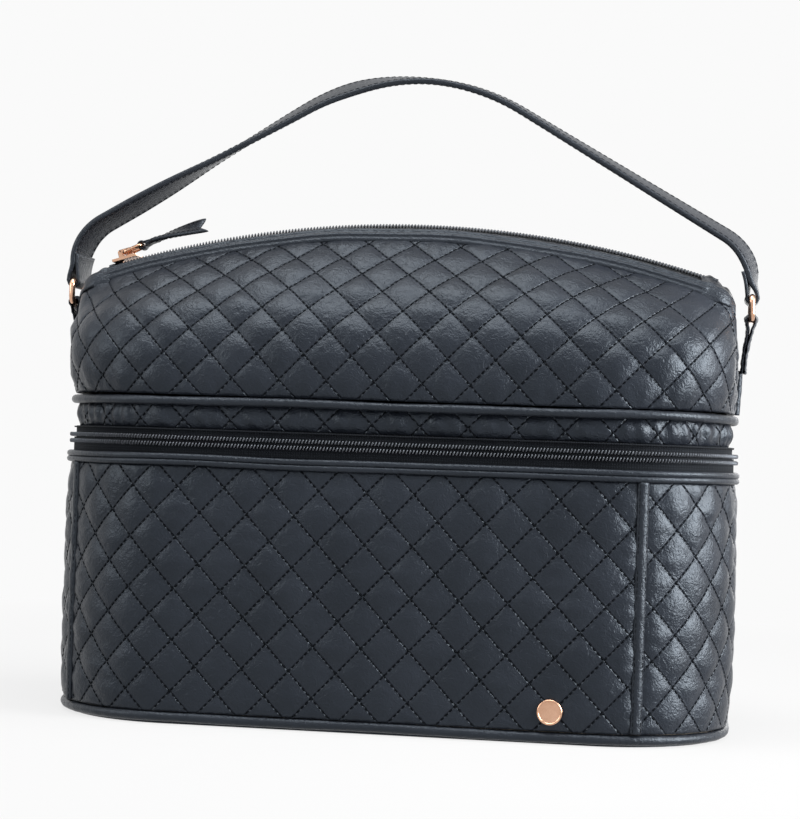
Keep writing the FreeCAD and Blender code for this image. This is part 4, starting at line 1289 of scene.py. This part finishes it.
def stage_material():
    """Pale floor that keeps the shadow and shows as white."""
    material, tree, shader = nodes_of("pale_floor")
    fleck = noise(tree, place(tree), 3.0, 2.0)
    tone = shades(tree, fleck, (0.49, 0.49, 0.49), (0.52, 0.52, 0.52))
    fill(tree, shader, {"Base Color": tone, "Roughness": 0.9, "Specular IOR Level": 0.1})
    glow = node(tree, "ShaderNodeEmission", {"Color": (1, 1, 1, 1), "Strength": backdrop})
    reach = node(tree, "ShaderNodeVectorMath", {0: place(tree)}, operation="LENGTH").outputs["Value"]
    fade = node(tree, "ShaderNodeMapRange", {"Value": reach, "From Min": 0.2, "From Max": 0.7, "To Min": 0.8})
    white_share = maths(tree, "MULTIPLY", sees_backdrop(tree), fade.outputs["Result"])
    mix = node(tree, "ShaderNodeMixShader", {0: white_share, 1: shader.outputs["BSDF"],
                                             2: glow.outputs["Emission"]})
    tree.links.new(mix.outputs["Shader"], tree.nodes["Material Output"].inputs["Surface"])
    return material


def stage():
    """White floor and background."""
    size = 40.0
    corners = [(-size, -size, 0), (size, -size, 0), (size, size, 0), (-size, size, 0)]
    mesh = bpy.data.meshes.new("floor")
    mesh.from_pydata(corners, [], [(0, 1, 2, 3)])
    mesh.materials.append(stage_material())
    floor = bpy.data.objects.new("floor", mesh)
    bpy.context.scene.collection.objects.link(floor)
    world = bpy.data.worlds.new("studio")
    bpy.context.scene.world = world
    world.use_nodes = True
    tree = world.node_tree
    sky = tree.nodes["Background"]
    fill(tree, sky, {"Color": (0.93, 0.96, 1.0, 1.0), "Strength": 0.22})
    white = node(tree, "ShaderNodeBackground", {"Color": (1, 1, 1, 1), "Strength": backdrop})
    mix = node(tree, "ShaderNodeMixShader", {0: sees_backdrop(tree), 1: sky.outputs["Background"],
                                             2: white.outputs["Background"]})
    tree.links.new(mix.outputs["Shader"], tree.nodes["World Output"].inputs["Surface"])


def lamp(name, spot, aim, size, power):
    """Soft rectangular light, pointed at a spot."""
    light = bpy.data.lights.new(name, "AREA")
    light.shape = "RECTANGLE"
    light.size, light.size_y = size
    light.energy = power
    obj = bpy.data.objects.new(name, light)
    obj.location = spot
    obj.rotation_euler = (Vector(aim) - Vector(spot)).to_track_quat("-Z", "Y").to_euler()
    bpy.context.scene.collection.objects.link(obj)


def camera():
    """Camera at the photograph's angle: a little to the right, level with the zip, slightly rolled."""
    yaw = math.radians(8.0)
    distance = 1.0
    height = 0.1233
    focal_pixels = 2165.0
    frame_tall = 819.0
    level_row = 449.0
    side_pixels = -4.0
    pitch = math.atan((level_row - frame_tall / 2) / focal_pixels)
    roll = math.radians(2.0)
    sideways = side_pixels / focal_pixels * distance
    ahead = Vector((-math.sin(yaw), math.cos(yaw), 0))
    right = Vector((math.cos(yaw), math.sin(yaw), 0))
    data = bpy.data.cameras.new("camera")
    data.sensor_width = 36.0
    data.lens = data.sensor_width * focal_pixels / frame_tall
    obj = bpy.data.objects.new("camera", data)
    obj.location = right * sideways - ahead * distance + Vector((0, 0, height))
    aim = ahead * math.cos(pitch) + Vector((0, 0, math.sin(pitch)))
    turn = aim.to_track_quat("-Z", "Y").to_matrix() @ Matrix.Rotation(roll, 3, "Z")
    obj.rotation_euler = turn.to_euler()
    data.clip_start = 0.01
    data.clip_end = 200.0
    bpy.context.scene.collection.objects.link(obj)
    bpy.context.scene.camera = obj


stage()
lamp("overhead", (-0.1, -0.35, 1.35), (0, 0.0, 0.15), (1.3, 0.8), 21.0)
lamp("left_side", (-1.4, -0.8, 0.7), (0, 0, 0.13), (0.9, 0.9), 9.0)
lamp("right_side", (1.3, -0.3, 0.45), (0.05, 0, 0.12), (0.9, 1.1), 58.0)
lamp("rear", (0.3, 1.8, 0.35), (0, 0, 0.13), (1.2, 0.8), 5.0)
camera()
bpy.context.scene.view_settings.view_transform = "Standard"
